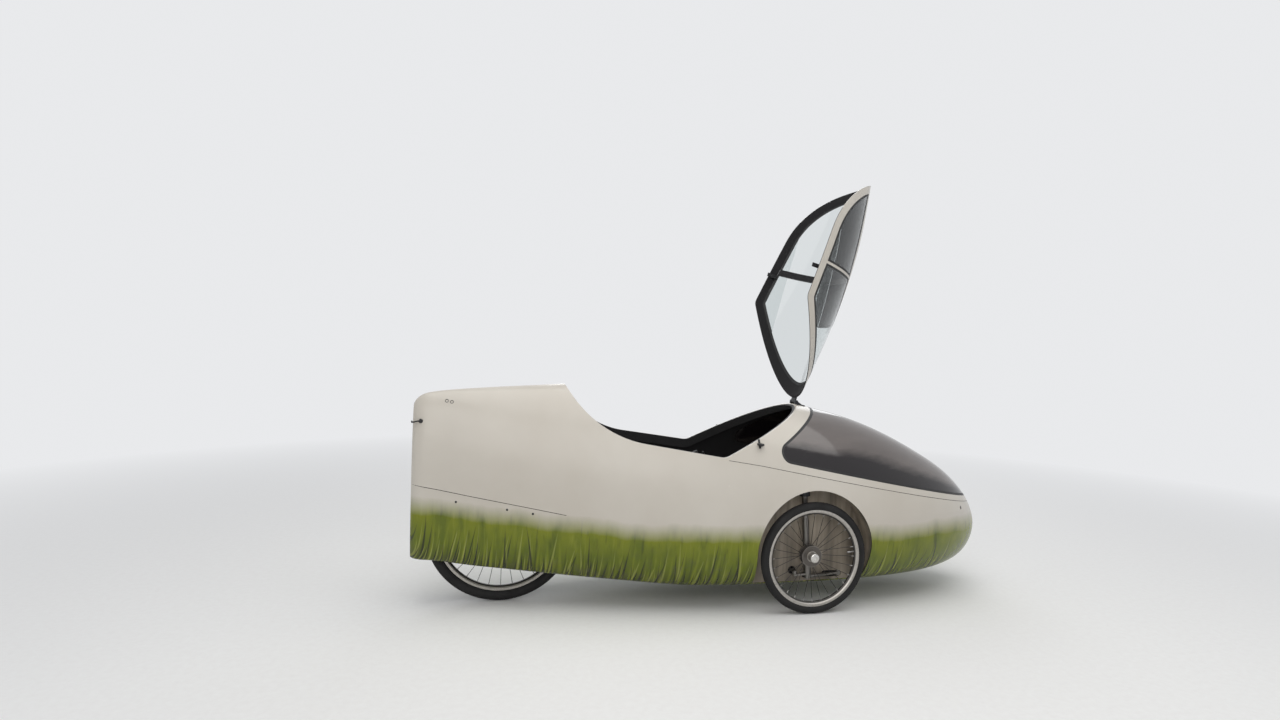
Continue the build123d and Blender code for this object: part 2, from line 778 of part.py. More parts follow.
with BuildPart() as steering_base:
    with BuildSketch(tiller_plane.offset(bearing_low)):
        Circle(tiller_post_radius + bearing_wall)
    extrude(amount=bearing_top - bearing_low)
    bearing_floor = tiller_plane.from_local_coords((0, 0, bearing_low))
    bearing_roof = tiller_plane.from_local_coords((0, 0, bearing_top))
    with BuildSketch(side):
        with BuildLine():
            Polyline(
                (base_leg_rear_x, 0),
                (base_leg_front_x, 0),
                (base_leg_front_x, bearing_floor.Z),
                (bearing_floor.X, bearing_floor.Z + bearing_wall),
                (bearing_roof.X, bearing_roof.Z - bearing_wall),
                (base_leg_rear_x, bearing_floor.Z),
                close=True,
            )
        make_face()
    extrude(amount=base_leg_half, both=True)
    with BuildSketch(tiller_plane):
        Circle(tiller_post_radius + running_gap)
    extrude(amount=2 * bearing_top, mode=Mode.SUBTRACT)
    add(inner_body, mode=Mode.INTERSECT)
save(steering_base.part, "steering_base")

# Cross beam between the wheel houses, and the boom that carries the bottom bracket
with BuildPart() as cross_beam:
    with BuildSketch(side):
        with Locations((cross_beam_x, cross_beam_z)):
            Circle(cross_beam_radius)
    extrude(amount=wheel_house_y, both=True)
save(cross_beam.part, "cross_beam")

with BuildPart() as boom:
    add(rod((cross_beam_x, 0, cross_beam_z), (crank_x, 0, crank_z), boom_radius))
    with BuildSketch(side):
        with Locations((crank_x, crank_z)):
            Circle(bracket_shell_radius)
    extrude(amount=bracket_shell_half, both=True)
    with BuildSketch(side):
        with Locations((crank_x, crank_z / 2)):
            Rectangle(boom_post_length, crank_z)
    extrude(amount=boom_post_half, both=True)
    add(inner_body, mode=Mode.INTERSECT)
    add(cross_beam.part, mode=Mode.SUBTRACT)
    with BuildSketch(side):
        with Locations((crank_x, crank_z)):
            Circle(crank_spindle_radius + running_gap)
    extrude(amount=half_reach, both=True, mode=Mode.SUBTRACT)
save(boom.part, "boom")


# Wheels: spoked wheel with a V rim and flanged hub, and its tyre
def wheel_plane(wheel):
    """Half section plane of a wheel: X runs along the axle, Y out along a radius."""
    return Plane(origin=(wheel.x, wheel.y, wheel.z), x_dir=(0, 1, 0), z_dir=(1, 0, 0))


def spoke_set(wheel, hand):
    """All spokes of a wheel, alternately from its inner and its outer hub flange."""
    centre = Vector(wheel.x, wheel.y, wheel.z)
    flange_radius = wheel.hub + flange_lip / 2
    rim_reach = wheel.rim - rim_depth_v + rim_lip
    bars = []
    for index in range(wheel.spokes):
        flange = hand * (wheel.flange_in if index % 2 else wheel.flange_out)
        angle = radians(index * 360 / wheel.spokes)
        swept = angle + radians(spoke_sweep if index % 4 < 2 else -spoke_sweep)
        low = centre + Vector(cos(swept) * flange_radius, flange, sin(swept) * flange_radius)
        top = centre + Vector(cos(angle) * rim_reach, 0, sin(angle) * rim_reach)
        bars.append(rod(low, top, spoke_radius))
    return bars


for wheel in wheels:
    hand = -1 if wheel.y < 0 else 1
    axle = Axis((wheel.x, wheel.y, wheel.z), (0, 1, 0))
    bed = wheel.rim - rim_bed_drop
    with BuildPart() as spoked_wheel:
        with BuildSketch(wheel_plane(wheel)):
            with BuildLine():
                Polyline(
                    (-wheel.rim_half, wheel.rim),
                    (-wheel.rim_half + rim_lip, wheel.rim),
                    (-wheel.rim_half + rim_lip, bed),
                    (wheel.rim_half - rim_lip, bed),
                    (wheel.rim_half - rim_lip, wheel.rim),
                    (wheel.rim_half, wheel.rim),
                    (wheel.rim_half, bed - rim_bed_drop),
                    (wheel.rim_half / 3, wheel.rim - rim_depth_v),
                    (-wheel.rim_half / 3, wheel.rim - rim_depth_v),
                    (-wheel.rim_half, bed - rim_bed_drop),
                    close=True,
                )
            make_face()
            with Locations((hand * (wheel.flange_in + wheel.flange_out) / 2, wheel.hub / 2)):
                Rectangle(wheel.flange_out - wheel.flange_in, wheel.hub)
            for flange in (wheel.flange_in, wheel.flange_out):
                with Locations((hand * flange, (wheel.hub + flange_lip) / 2)):
                    Rectangle(flange_width, wheel.hub + flange_lip)
            with Locations((hand * (wheel.hub_in + wheel.hub_out) / 2, wheel.hub * hub_end_share / 2)):
                Rectangle(wheel.hub_out - wheel.hub_in, wheel.hub * hub_end_share)
            if wheel.name == "rear":
                with Locations((chain_y / 2, wheel.hub / 2)):
                    Rectangle(-chain_y, wheel.hub)
                with Locations((chain_y, sprocket_radius / 2)):
                    Rectangle(sprocket_width, sprocket_radius)
        revolve(axis=axle)
        add(spoke_set(wheel, hand))
        bore_in_y = wheel.y - hand * half_reach / 4
        bore_out_y = wheel.y + hand * wheel.bore_out
        with BuildSketch(side_at(bore_in_y)):
            with Locations((wheel.x, wheel.z)):
                Circle(wheel.bore + running_gap)
        extrude(amount=bore_in_y - bore_out_y, mode=Mode.SUBTRACT)
    save(spoked_wheel.part, f"{wheel.name}_wheel")
    with BuildPart() as tyre:
        with BuildSketch(wheel_plane(wheel)):
            with Locations((0, wheel.tyre - wheel.tyre_half)):
                Circle(wheel.tyre_half)
            with Locations((0, wheel.rim / 2)):
                Rectangle(3 * wheel.tyre_half, wheel.rim + 2 * fit_gap, mode=Mode.SUBTRACT)
            seat_high = wheel.rim + 2 * rim_lip
            with Locations((0, (bed + fit_gap + seat_high) / 2)):
                Rectangle(2 * (wheel.rim_half - rim_lip - fit_gap), seat_high - bed - fit_gap)
        revolve(axis=axle)
    save(tyre.part, f"{wheel.name}_tyre")

# Bulkhead behind the seat, with a slot for the chain and a tongue for the headrest
bulkhead_front_x = bulkhead_x + bulkhead_thickness / 2
bulkhead_rear_x = bulkhead_x - bulkhead_thickness / 2
with BuildPart() as bulkhead:
    with BuildSketch(Plane.YZ.offset(bulkhead_rear_x)):
        with Locations((0, bulkhead_top / 2)):
            Rectangle(2 * half_reach, bulkhead_top)
        with Locations((0, bulkhead_tongue_top / 2)):
            Rectangle(2 * bulkhead_tongue_half, bulkhead_tongue_top)
        with Locations((chain_y, (chain_slot[0] + chain_slot[1]) / 2)):
            Rectangle(2 * chain_slot_half, chain_slot[1] - chain_slot[0], mode=Mode.SUBTRACT)
    extrude(amount=bulkhead_thickness)
    add(inner_body, mode=Mode.INTERSECT)
save(bulkhead.part, "bulkhead")

# Rear fork: two blades from the bulkhead to the axle, and the shock between one blade and the bulkhead
rear_wheel = wheels[-1]
with BuildPart() as rear_fork:
    for hand in (1, -1):
        with BuildSketch(side_at(hand * blade_y)):
            with BuildLine():
                Polyline(
                    (bulkhead_rear_x, blade_pivot_z - blade_pivot_half),
                    (bulkhead_rear_x, blade_pivot_z + blade_pivot_half),
                    (blade_pivot_x, blade_pivot_z + blade_pivot_half),
                    (rear_wheel.x, rear_wheel.z + blade_tip_half),
                    (rear_wheel.x, rear_wheel.z - blade_tip_half),
                    (blade_pivot_x, blade_pivot_z - blade_pivot_half),
                    close=True,
                )
            make_face()
            with Locations((rear_wheel.x, rear_wheel.z)):
                Circle(blade_tip_half)
        extrude(amount=blade_thickness / 2, both=True)
    with BuildSketch(side):
        with Locations((rear_wheel.x, rear_wheel.z)):
            Circle(rear_wheel.bore)
    extrude(amount=blade_y, both=True)
save(rear_fork.part, "rear_fork")

with BuildPart() as rear_shock:
    shock_foot = Vector(shock_low[0], blade_y, shock_low[1])
    add(rod(shock_foot, (bulkhead_x, blade_y, shock_high_z), shock_radius))
    add(rear_fork.part, mode=Mode.SUBTRACT)
    with BuildSketch(Plane.YZ.offset(bulkhead_rear_x)):
        Rectangle(2 * half_reach, 2 * high_reach)
    extrude(amount=half_reach, mode=Mode.SUBTRACT)
save(rear_shock.part, "rear_shock")

# Crankset: spindle, arms, pedal spindles and a toothed chainring on five arms
ring_pitch_radius = chain_pitch / (2 * sin(pi / ring_teeth))
ring_root_radius = ring_pitch_radius - tooth_height
with BuildPart() as crankset:
    with BuildSketch(side):
        with Locations((crank_x, crank_z)):
            Circle(crank_spindle_radius)
    extrude(amount=crank_y, both=True)
    for hand in (1, -1):
        arm_face_y = crank_y + crank_arm_width
        with BuildSketch(side_at(hand * crank_y)):
            with Locations((crank_x - hand * crank_length / 2, crank_z)):
                SlotCenterToCenter(crank_length, crank_arm_height)
        extrude(amount=-hand * crank_arm_width)
        with BuildSketch(side_at(hand * arm_face_y)):
            with Locations((crank_x - hand * crank_length, crank_z)):
                Circle(pedal_spindle_radius)
        extrude(amount=-hand * (pedal_gap + pedal_width))
    with BuildSketch(side_at(chain_y)):
        with Locations((crank_x, crank_z)):
            Circle(ring_root_radius)
            Circle(ring_inner_radius, mode=Mode.SUBTRACT)
            with PolarLocations(ring_root_radius + tooth_height / 2 - chain_step / 2, ring_teeth):
                Trapezoid(tooth_base, tooth_height + chain_step, tooth_slant, rotation=-90)
            with PolarLocations(ring_inner_radius / 2 + chain_step, ring_arms):
                Rectangle(ring_inner_radius + chain_step, ring_arm_width)
            Circle(ring_boss_radius)
    extrude(amount=ring_thickness / 2, both=True)
    with BuildSketch(side_at(-bracket_shell_half - fit_gap)):
        with Locations((crank_x, crank_z)):
            Circle(ring_boss_radius)
    extrude(amount=crank_y - bracket_shell_half - fit_gap)
save(crankset.part, "crankset")

for name, hand in (("pedal_left", 1), ("pedal_right", -1)):
    pedal_x = crank_x - hand * crank_length
    pedal_y = hand * (crank_y + crank_arm_width + pedal_gap + pedal_width / 2)
    with BuildPart() as pedal:
        with BuildSketch(Plane.XY.offset(crank_z - pedal_height / 2)):
            with Locations((pedal_x, pedal_y)):
                RectangleRounded(pedal_length, pedal_width, pedal_bar)
                with GridLocations(pedal_length - 2 * pedal_bar + pedal_bar - pedal_window / 2, 0, 2, 1):
                    Rectangle(pedal_window, pedal_width - 2 * pedal_bar, mode=Mode.SUBTRACT)
        extrude(amount=pedal_height)
        with BuildSketch(side):
            with Locations((pedal_x, crank_z)):
                Circle(pedal_spindle_radius + running_gap)
        extrude(amount=half_reach, both=True, mode=Mode.SUBTRACT)
    save(pedal.part, name)


# Chain: links run from the tube mouths round the chainring, and a plain band round the sprocket
def tangent_slopes(point, centre, radius):
    """Slopes of the two lines from a point that touch a circle: larger angle first."""
    run = Vector(centre[0] - point[0], centre[1] - point[1])
    aim = atan2(run.Y, run.X)
    spread = asin(radius / run.length)
    return [tan(aim + spread), tan(aim - spread)]


def touch_point(point, centre, slope):
    """Foot of the perpendicular from a circle's centre on a line through a point."""
    along = Vector(1, slope).normalized()
    run = Vector(centre[0] - point[0], centre[1] - point[1])
    reach = run.dot(along)
    return (point[0] + along.X * reach, point[1] + along.Y * reach)


def at_x(point, slope, x):
    return (x, point[1] + slope * (x - point[0]))


ring_centre = (crank_x, crank_z)
front_radius = ring_pitch_radius + chain_clearance + chain_height / 2
crest_z = cross_beam_z + cross_beam_radius + tube_radius + tube_clearance
upper_low = (tube_low_x, upper_tube_z[0])
lower_crest = (cross_beam_x, crest_z)
upper_slope = tangent_slopes(upper_low, ring_centre, front_radius)[0]
lower_slope = tangent_slopes(lower_crest, ring_centre, front_radius)[1]
upper_mouth = at_x(upper_low, upper_slope, tube_mouth_x)
lower_mouth = at_x(lower_crest, lower_slope, tube_mouth_x)

sprocket_centre = (rear_wheel.x, rear_wheel.z)
rear_radius = sprocket_radius + chain_clearance + chain_height / 2
upper_rise = (tube_rise_x, upper_tube_z[1])
lower_rise = (tube_rise_x, lower_tube_z[1])
upper_rear_slope = tangent_slopes(upper_rise, sprocket_centre, rear_radius)[1]
lower_rear_slope = tangent_slopes(lower_rise, sprocket_centre, rear_radius)[0]
upper_end = at_x(upper_rise, upper_rear_slope, tube_end_x)
lower_end = at_x(lower_rise, lower_rear_slope, tube_end_x)

upper_touch = touch_point(upper_low, ring_centre, upper_slope)
lower_touch = touch_point(lower_crest, ring_centre, lower_slope)
with BuildLine() as chain_line:
    Line(upper_mouth, upper_touch)
    ThreePointArc(upper_touch, (crank_x + front_radius, crank_z), lower_touch)
    Line(lower_touch, lower_mouth)
chain_wire = chain_line.wire()
links = round(chain_wire.length / chain_pitch)
with BuildPart() as chain:
    for parity in (0, 1):
        with BuildSketch(side_at(chain_y)):
            for index in range(parity, links, 2):
                spot = chain_wire @ ((index + 0.5) / links)
                aim = chain_wire % ((index + 0.5) / links)
                with Locations(Location((spot.X, spot.Y, 0), (0, 0, degrees(atan2(aim.Y, aim.X))))):
                    Rectangle(chain_pitch + chain_step, chain_height - 2 * parity * chain_step)
        extrude(amount=chain_width / 2 - parity * chain_step, both=True)
    with BuildSketch(side_at(chain_y)):
        with BuildLine():
            rear_upper_touch = touch_point(upper_rise, sprocket_centre, upper_rear_slope)
            rear_lower_touch = touch_point(lower_rise, sprocket_centre, lower_rear_slope)
            Line(upper_end, rear_upper_touch)
            ThreePointArc(rear_upper_touch, (rear_wheel.x - rear_radius, rear_wheel.z), rear_lower_touch)
            Line(rear_lower_touch, lower_end)
        trace(line_width=chain_height)
    extrude(amount=chain_width / 2 - chain_step, both=True)
save(chain.part, "chain")

with BuildPart() as chain_tubes:
    for corners in (
        [upper_mouth, upper_low, upper_rise, upper_end],
        [lower_mouth, lower_crest, (tube_low_x, lower_tube_z[0]), lower_rise, lower_end],
    ):
        with BuildLine(side_at(chain_y)) as tube_path:
            FilletPolyline(*corners, radius=tube_bend_radius)
        with BuildSketch(Plane(origin=tube_path.line @ 0, z_dir=tube_path.line % 0)):
            Circle(tube_radius)
            Circle(tube_bore, mode=Mode.SUBTRACT)
        sweep(path=tube_path.line)
save(chain_tubes.part, "chain_tubes")


# Seat: a bent shell, its pad, and the legs and bracket that carry it
def seat_strip(lift, thickness, margin):
    """Bent strip at a distance from the seat line on the rider's side, with round corners."""
    points = drawn_in(seat_line, -lift, closed=False)
    with BuildPart() as strip:
        with BuildSketch(side):
            with BuildLine():
                FilletPolyline(*points, radius=[radius - lift for radius in seat_radii])
            trace(line_width=thickness)
        extrude(amount=half_reach, both=True)
        half = seat_half - margin
        top_half = seat_top_half - margin
        top_z = points[-1][1] - margin
        with BuildSketch(Plane.YZ):
            with BuildLine():
                FilletPolyline(
                    (-half, 0),
                    (half, 0),
                    (half, seat_shoulder_z),
                    (top_half, top_z),
                    (-top_half, top_z),
                    (-half, seat_shoulder_z),
                    radius=[0, 0, seat_corner_radius, seat_corner_radius, seat_corner_radius, seat_corner_radius],
                    close=True,
                )
            make_face()
        extrude(amount=high_reach, both=True, mode=Mode.INTERSECT)
        with BuildSketch(Plane.XY):
            with Locations((points[0][0] - margin - high_reach / 2, 0)):
                Rectangle(high_reach, 2 * half)
        extrude(amount=high_reach, mode=Mode.INTERSECT)
    return strip.part


save(seat_strip(0, seat_thickness, 0), "seat_shell")
pad_lift = seat_thickness / 2 + fit_gap + seat_pad_thickness / 2
save(seat_strip(pad_lift, seat_pad_thickness, seat_pad_margin), "seat_pad")

seat_run = Vector(seat_line[0][0] - seat_line[1][0], 0, seat_line[0][1] - seat_line[1][1]).normalized()
seat_up = Vector(-seat_run.Z, 0, seat_run.X)
seat_under = Plane(origin=(seat_line[0][0], 0, seat_line[0][1]), x_dir=seat_run, z_dir=seat_up)
seat_back_line = drawn_in(seat_line, seat_thickness / 2 + fit_gap, closed=False)[-2:]
with BuildPart() as seat_mounts:
    with BuildSketch(seat_under.offset(-seat_thickness / 2 - fit_gap)):
        for place in seat_leg_places:
            for hand in (1, -1):
                with Locations((-place, hand * (seat_leg_y[0] + seat_leg_y[1]) / 2)):
                    Rectangle(seat_leg_length, seat_leg_y[1] - seat_leg_y[0])
    extrude(amount=-half_reach)
    add(inner_body, mode=Mode.INTERSECT)
    back_slope = (seat_back_line[1][0] - seat_back_line[0][0]) / (seat_back_line[1][1] - seat_back_line[0][1])
    back_xs = [seat_back_line[0][0] + back_slope * (z - seat_back_line[0][1]) for z in seat_bracket_z]
    with BuildSketch(side):
        with BuildLine():
            Polyline(
                (bulkhead_front_x, seat_bracket_z[0]),
                (back_xs[0], seat_bracket_z[0]),
                (back_xs[1], seat_bracket_z[1]),
                (bulkhead_front_x, seat_bracket_z[1]),
                close=True,
            )
        make_face()
    extrude(amount=seat_bracket_half, both=True)
save(seat_mounts.part, "seat_mounts")

with BuildPart() as headrest:
    with Locations((bulkhead_front_x + headrest_depth / 2, 0, (headrest_z[0] + headrest_z[1]) / 2)):
        Box(headrest_depth, 2 * headrest_half, headrest_z[1] - headrest_z[0])
    fillet(headrest.edges(), headrest_round)
save(headrest.part, "headrest")

# Small fittings: mirror brackets, indicator lenses and the tail lamp
with BuildPart() as mirror_brackets:
    with BuildSketch(Plane.XY.offset(mirror_z - mirror_lug_height / 2)):
        with Locations((mirror_x, (mirror_root + mirror_hole_y) / 2)):
            Rectangle(2 * mirror_lug_half, mirror_hole_y - mirror_root)
        with Locations((mirror_x, mirror_hole_y)):
            Circle(mirror_reach - mirror_hole_y)
            Circle(mirror_hole_radius, mode=Mode.SUBTRACT)
    extrude(amount=mirror_lug_height)
    add(outer_body, mode=Mode.SUBTRACT)
    mirror(about=side)
save(mirror_brackets.part, "mirror_brackets")

with BuildPart() as indicators:
    with BuildSketch(side):
        with Locations((indicator_x, indicator_z)):
            Circle(indicator_radius)
    extrude(amount=half_reach, both=True)
    add(outer_body, mode=Mode.INTERSECT)
    add(inner_body, mode=Mode.SUBTRACT)
save(indicators.part, "indicators")

with BuildPart() as tail_lamp:
    with BuildSketch(Plane.YZ.offset(-half_length)):
        with Locations((0, tail_lamp_z)):
            Circle(tail_lamp_radius)
    extrude(amount=tail_lamp_depth)
save(tail_lamp.part, "tail_lamp")
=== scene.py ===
import json
import math
from collections import namedtuple

import bmesh
import bpy
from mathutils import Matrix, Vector
from mathutils.bvhtree import BVHTree


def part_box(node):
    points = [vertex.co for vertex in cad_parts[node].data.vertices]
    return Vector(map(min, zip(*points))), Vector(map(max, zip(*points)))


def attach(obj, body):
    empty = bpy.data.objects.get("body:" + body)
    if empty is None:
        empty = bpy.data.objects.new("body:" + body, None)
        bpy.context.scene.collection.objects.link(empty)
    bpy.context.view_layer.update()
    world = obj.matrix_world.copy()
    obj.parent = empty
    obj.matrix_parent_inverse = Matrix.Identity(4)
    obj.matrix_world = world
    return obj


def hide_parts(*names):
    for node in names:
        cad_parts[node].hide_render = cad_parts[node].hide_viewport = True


# Velomobile: finishes, grass band, panel seams, small fittings, tyre tread, canopy panes, seat
# cushion, stage and camera.
# Metres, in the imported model's frame: +X is forward, +Y is left, +Z is up.

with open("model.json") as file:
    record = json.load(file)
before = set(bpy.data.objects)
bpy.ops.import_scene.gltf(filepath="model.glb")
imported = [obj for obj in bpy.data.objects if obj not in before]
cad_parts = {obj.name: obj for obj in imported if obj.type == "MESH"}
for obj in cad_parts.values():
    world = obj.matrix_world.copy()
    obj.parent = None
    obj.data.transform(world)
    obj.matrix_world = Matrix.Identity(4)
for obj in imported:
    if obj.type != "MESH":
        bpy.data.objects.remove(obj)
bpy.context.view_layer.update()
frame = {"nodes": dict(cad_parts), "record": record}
nodes = frame["nodes"]

# Camera, fitted to the photograph: width in pixels, and focal length in the same pixels
PHOTO_WIDTH = 1280
FOCAL = 729
SENSOR = 36.0
CAMERA_PLACE = (-1.113, -3.26, 1.148)
CAMERA_YAW = 12.64
CAMERA_PITCH = -1.21
CAMERA_ROLL = 1.69

# Points inside the body and inside the open canopy: faces that look at them are bare inner sides
HULL_MIDDLE = (0.0, 0.0, 0.42)
CANOPY_MIDDLE = (0.235, 0.0, 1.49)

# Canopy in side view when shut, and how far it is turned open about its hinge: corners and radii
# of the body's sill under it, then the edges of its panes
HINGE = (0.384, 0.897)
CANOPY_TURN = 105.0
SILL = ((-0.731, 0.972), (-0.629, 0.761), (-0.062, 0.673), (0.378, 0.887))
SILL_RADII = (0.440, 0.060)
SILL_STEPS = 24
RIM_INSET = 0.041
PILLAR = (-0.246, -0.234)
ROOF_FRONT = -0.011
PANE_TOP = 0.935
GASKET = 0.010
PANE_THICKNESS = 0.003
GASKET_PROUD = 0.0003

# Canopy skins are found by rays towards a line along its inside: the line's height, start, step and
# steps, the turn in degrees and turns to each side, then the least facing and the longest edge
AXIS_Z = 0.700
SKIN_START = -0.82
SKIN_STEP = 0.010
SKIN_STEPS = 122
SKIN_TURN = 2.5
SKIN_TURNS = 44
SKIN_FACING = 0.3
SKIN_EDGE = 0.03

# Cutters through the shut canopy: half width, rear, low and high ends, and the sill cutter's top
CUT_HALF = 0.6
CUT_REAR = -2.0
CUT_LOW = 0.5
CUT_HIGH = 2.0
CUT_TOP = [(1.4, 1.9), (-1.4, 1.9)]

# Weld distances, and angles in degrees above which an edge is sharp
SOLID_WELD = 0.00001
SKIN_WELD = 0.00002
SHARP = 40.0
CANOPY_SHARP = 30.0

# Panel seams, side view: corner points that are joined by straight runs on the body's surface, and
# places of the screws and vents
SEAM_RADIUS = 0.0013
SEAM_SINK = 0.0006
SEAM_STEP = 0.012
TAIL_SEAM = [(-1.362, 0.5315), (-0.730, 0.424)]
WINDOW_SEAM = [(-0.050, 0.664), (0.100, 0.641), (1.300, 0.416)]
TAIL_SCREWS = [(-1.183, 0.466), (-0.973, 0.440), (-0.867, 0.426)]
TAIL_VENTS = [(-1.232, 0.884), (-1.211, 0.880)]

# Tail hook: its place, and the distance out from the body and the offset of its bent end's points
HOOK_PLACE = (-1.336, 0.798)
HOOK_RUN = [
    (0.005, (0.0, 0.0, 0.0)),
    (0.006, (-0.010, 0.0, -0.001)),
    (0.004, (-0.024, 0.0, -0.004)),
    (0.003, (-0.036, 0.004, -0.006)),
    (0.0, (-0.038, 0.012, -0.002)),
]
HOOK_RADIUS = 0.0032

# Mirror feet, side view: place and half height, then the branch's reach forward, and how far down
# its ends are as shares of the half height
MIRROR = (0.095, 0.731)
FOOT_HALF = 0.018
FOOT_BRANCH = 0.020
BRANCH_ENDS = (0.5, 0.15)
FOOT_RADIUS = 0.0045
FOOT_LIFT = 0.001

# The tiller's brake levers: where they leave the bar and bend, and how far ahead of it they stand
BAR_CENTRE = (-0.030, 0.0, 0.545)
GRIP_LEAN = 25.0
LEVER_ROOT = 0.084
LEVER_BEND = 0.100
LEVER_REACH = 0.036
LEVER_ELBOW = 0.85
LEVER_CURVE = 0.006
LEVER_LENGTH = 0.088
LEVER_RADIUS = 0.004

# Turned profiles: distance along the axis, and radius
SCREW_PROFILE = [(-0.002, 0.0048), (0.0008, 0.0048), (0.0018, 0.0036), (0.002, 0.002)]
VENT_PROFILE = [(-0.002, 0.0075), (0.0012, 0.0075), (0.0016, 0.0062), (-0.0005, 0.0052)]
HOOK_PROFILE = [(-0.002, 0.009), (0.004, 0.009), (0.006, 0.007), (0.006, 0.003)]
NIPPLE_PROFILE = [(-0.002, 0.0026), (0.003, 0.0026), (0.004, 0.0020), (0.012, 0.0018)]
VALVE_PROFILE = [
    (-0.004, 0.0045), (0.002, 0.0045), (0.0022, 0.0028), (0.018, 0.0028),
    (0.0182, 0.0042), (0.030, 0.0038), (0.031, 0.003),
]
CAP_PROFILE = [
    (-0.004, 0.0205), (0.003, 0.0205), (0.0055, 0.0185), (0.007, 0.012),
    (0.0072, 0.009), (0.0042, 0.0075), (0.004, 0.002),
]

# Wheels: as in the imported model
Wheel = namedtuple("Wheel", "name body hub flange_in flange_out spokes hand rim chevrons")
WHEELS = [
    Wheel("front_left", "front_left_wheel", 0.044, -0.044, -0.016, 28, 1, 0.211, 84),
    Wheel("front_right", "front_right_wheel", 0.044, -0.044, -0.016, 28, -1, 0.211, 84),
    Wheel("rear", "rear_wheel", 0.026, -0.028, 0.028, 32, 1, 0.285, 112),
]

# On the wheels: the spokes' sweep in degrees, depths of the rim and of its bright band, how far the
# nipples sink in and how far out the axle caps sit
SPOKE_SWEEP = 9.0
RIM_DEPTH = 0.020
RIM_BRIGHT = 0.014
NIPPLE_SINK = 0.001
CAP_PLACE = 0.012

# Tread pads: where they start and how far they run across, in half widths of the tyre, how far they
# slant and half their width, in pitches, shares of their run, and shares of their width with lifts
PAD_START = 0.05
PAD_RUN = 0.66
PAD_SLANT = 0.62
PAD_HALF = 0.36
PAD_SHARES = (0.0, 0.33, 0.66, 1.0)
PAD_SECTION = ((-1.0, -0.0012), (-0.9, 0.0006), (0.9, 0.0006), (1.0, -0.0012))

# Ribs on the sidewalls: places and section across, in half widths of the tyre, and sides round it
RIB_PLACES = (0.80, 0.90)
RIB_SECTION = ((-0.025, -0.0006), (-0.01, 0.0006), (0.01, 0.0006), (0.025, -0.0006))
RIB_SIDES = 128

# Seat cushion: weld, voxel size, shrinkage before it is inflated and the farthest that it moves,
# pressure, quality and steps, then its channels' direction (X, Z), spacing, depth and half width
PAD_WELD = 0.0002
PAD_VOXEL = 0.006
PAD_SHRINK = 0.004
PAD_CAP = 0.008
PAD_PRESSURE = 4.0
PAD_QUALITY = 5
PAD_STEPS = 20
CHANNEL_RUN = (-0.55, 0.83)
CHANNEL_STEP = 0.062
CHANNEL_DEPTH = 0.005
CHANNEL_HALF = 0.006


def paint(red, green, blue):
    """Linear colour from the values from 0 to 255 that a screen shows."""
    return tuple((value / 255) ** 2.2 for value in (red, green, blue)) + (1.0,)


BLACK_RUBBER = paint(26, 26, 27)
# Smoked glass where it faces up: its tint with a painted sky reflection
SMOKE_WITH_SKY_REFLECTION = paint(96, 90, 88)
BACKGROUND = paint(232, 233, 235)

# Grass colours below the top line: from and to which depth, and the colour there
GRASS_TOP = paint(126, 130, 30)
GRASS_DEPTHS = (
    (0.0, 0.06, paint(116, 124, 14)),
    (0.06, 0.16, paint(96, 108, 2)),
    (0.16, 0.32, paint(60, 68, 2)),
)

# Rows of grass blades: cell width, drop of the tips from the top line, length, half width, lean,
# softness and seed, then colour and strength
GRASS_ROWS = (
    ((0.050, (0.03, 0.13), 0.22, 0.17, 0.9, 0.10, 1.0), paint(134, 142, 30), 0.5),
    ((0.041, (0.05, 0.16), 0.20, 0.14, 1.0, 0.08, 2.0), paint(60, 70, 2), 0.6),
    ((0.067, (0.02, 0.12), 0.26, 0.085, 1.1, 0.03, 3.0), paint(158, 162, 80), 0.55),
    ((0.124, (0.00, 0.10), 0.30, 0.050, 1.1, 0.02, 4.0), paint(32, 38, 2), 0.9),
    ((0.091, (0.02, 0.15), 0.28, 0.058, 1.1, 0.02, 5.0), paint(40, 48, 2), 0.85),
    ((0.024, (0.13, 0.24), 0.12, 0.15, 1.0, 0.05, 6.0), paint(152, 158, 74), 0.65),
    ((0.031, (0.12, 0.22), 0.14, 0.16, 1.0, 0.05, 7.0), paint(30, 36, 4), 0.85),
)

# Stage: where the floor starts and ends to fade, its half size, the light from all round, the rays
# that show the background besides the camera's, and lamps: place, target, size, power and colour
FLOOR_NEAR = 1.9
FLOOR_FAR = 6.0
FLOOR_HALF = 60.0
AMBIENT = (0.93, 0.96, 1.0, 1.0)
AMBIENT_STRENGTH = 0.34
MIRRORED_RAYS = ("Is Glossy Ray", "Is Transmission Ray")
LAMPS = (
    ("sky", (0.2, -0.8, 4.6), (0.0, 0.0, 0.4), (6.0, 5.0), 155.0, (1.0, 0.99, 0.97)),
    ("front_fill", (-1.5, -4.5, 2.6), (0.1, 0.0, 0.5), (4.0, 2.4), 50.0, (1.0, 0.98, 0.95)),
    ("rear_fill", (1.5, 4.5, 2.8), (0.0, 0.0, 0.5), (4.0, 2.4), 50.0, (0.96, 0.98, 1.0)),
)


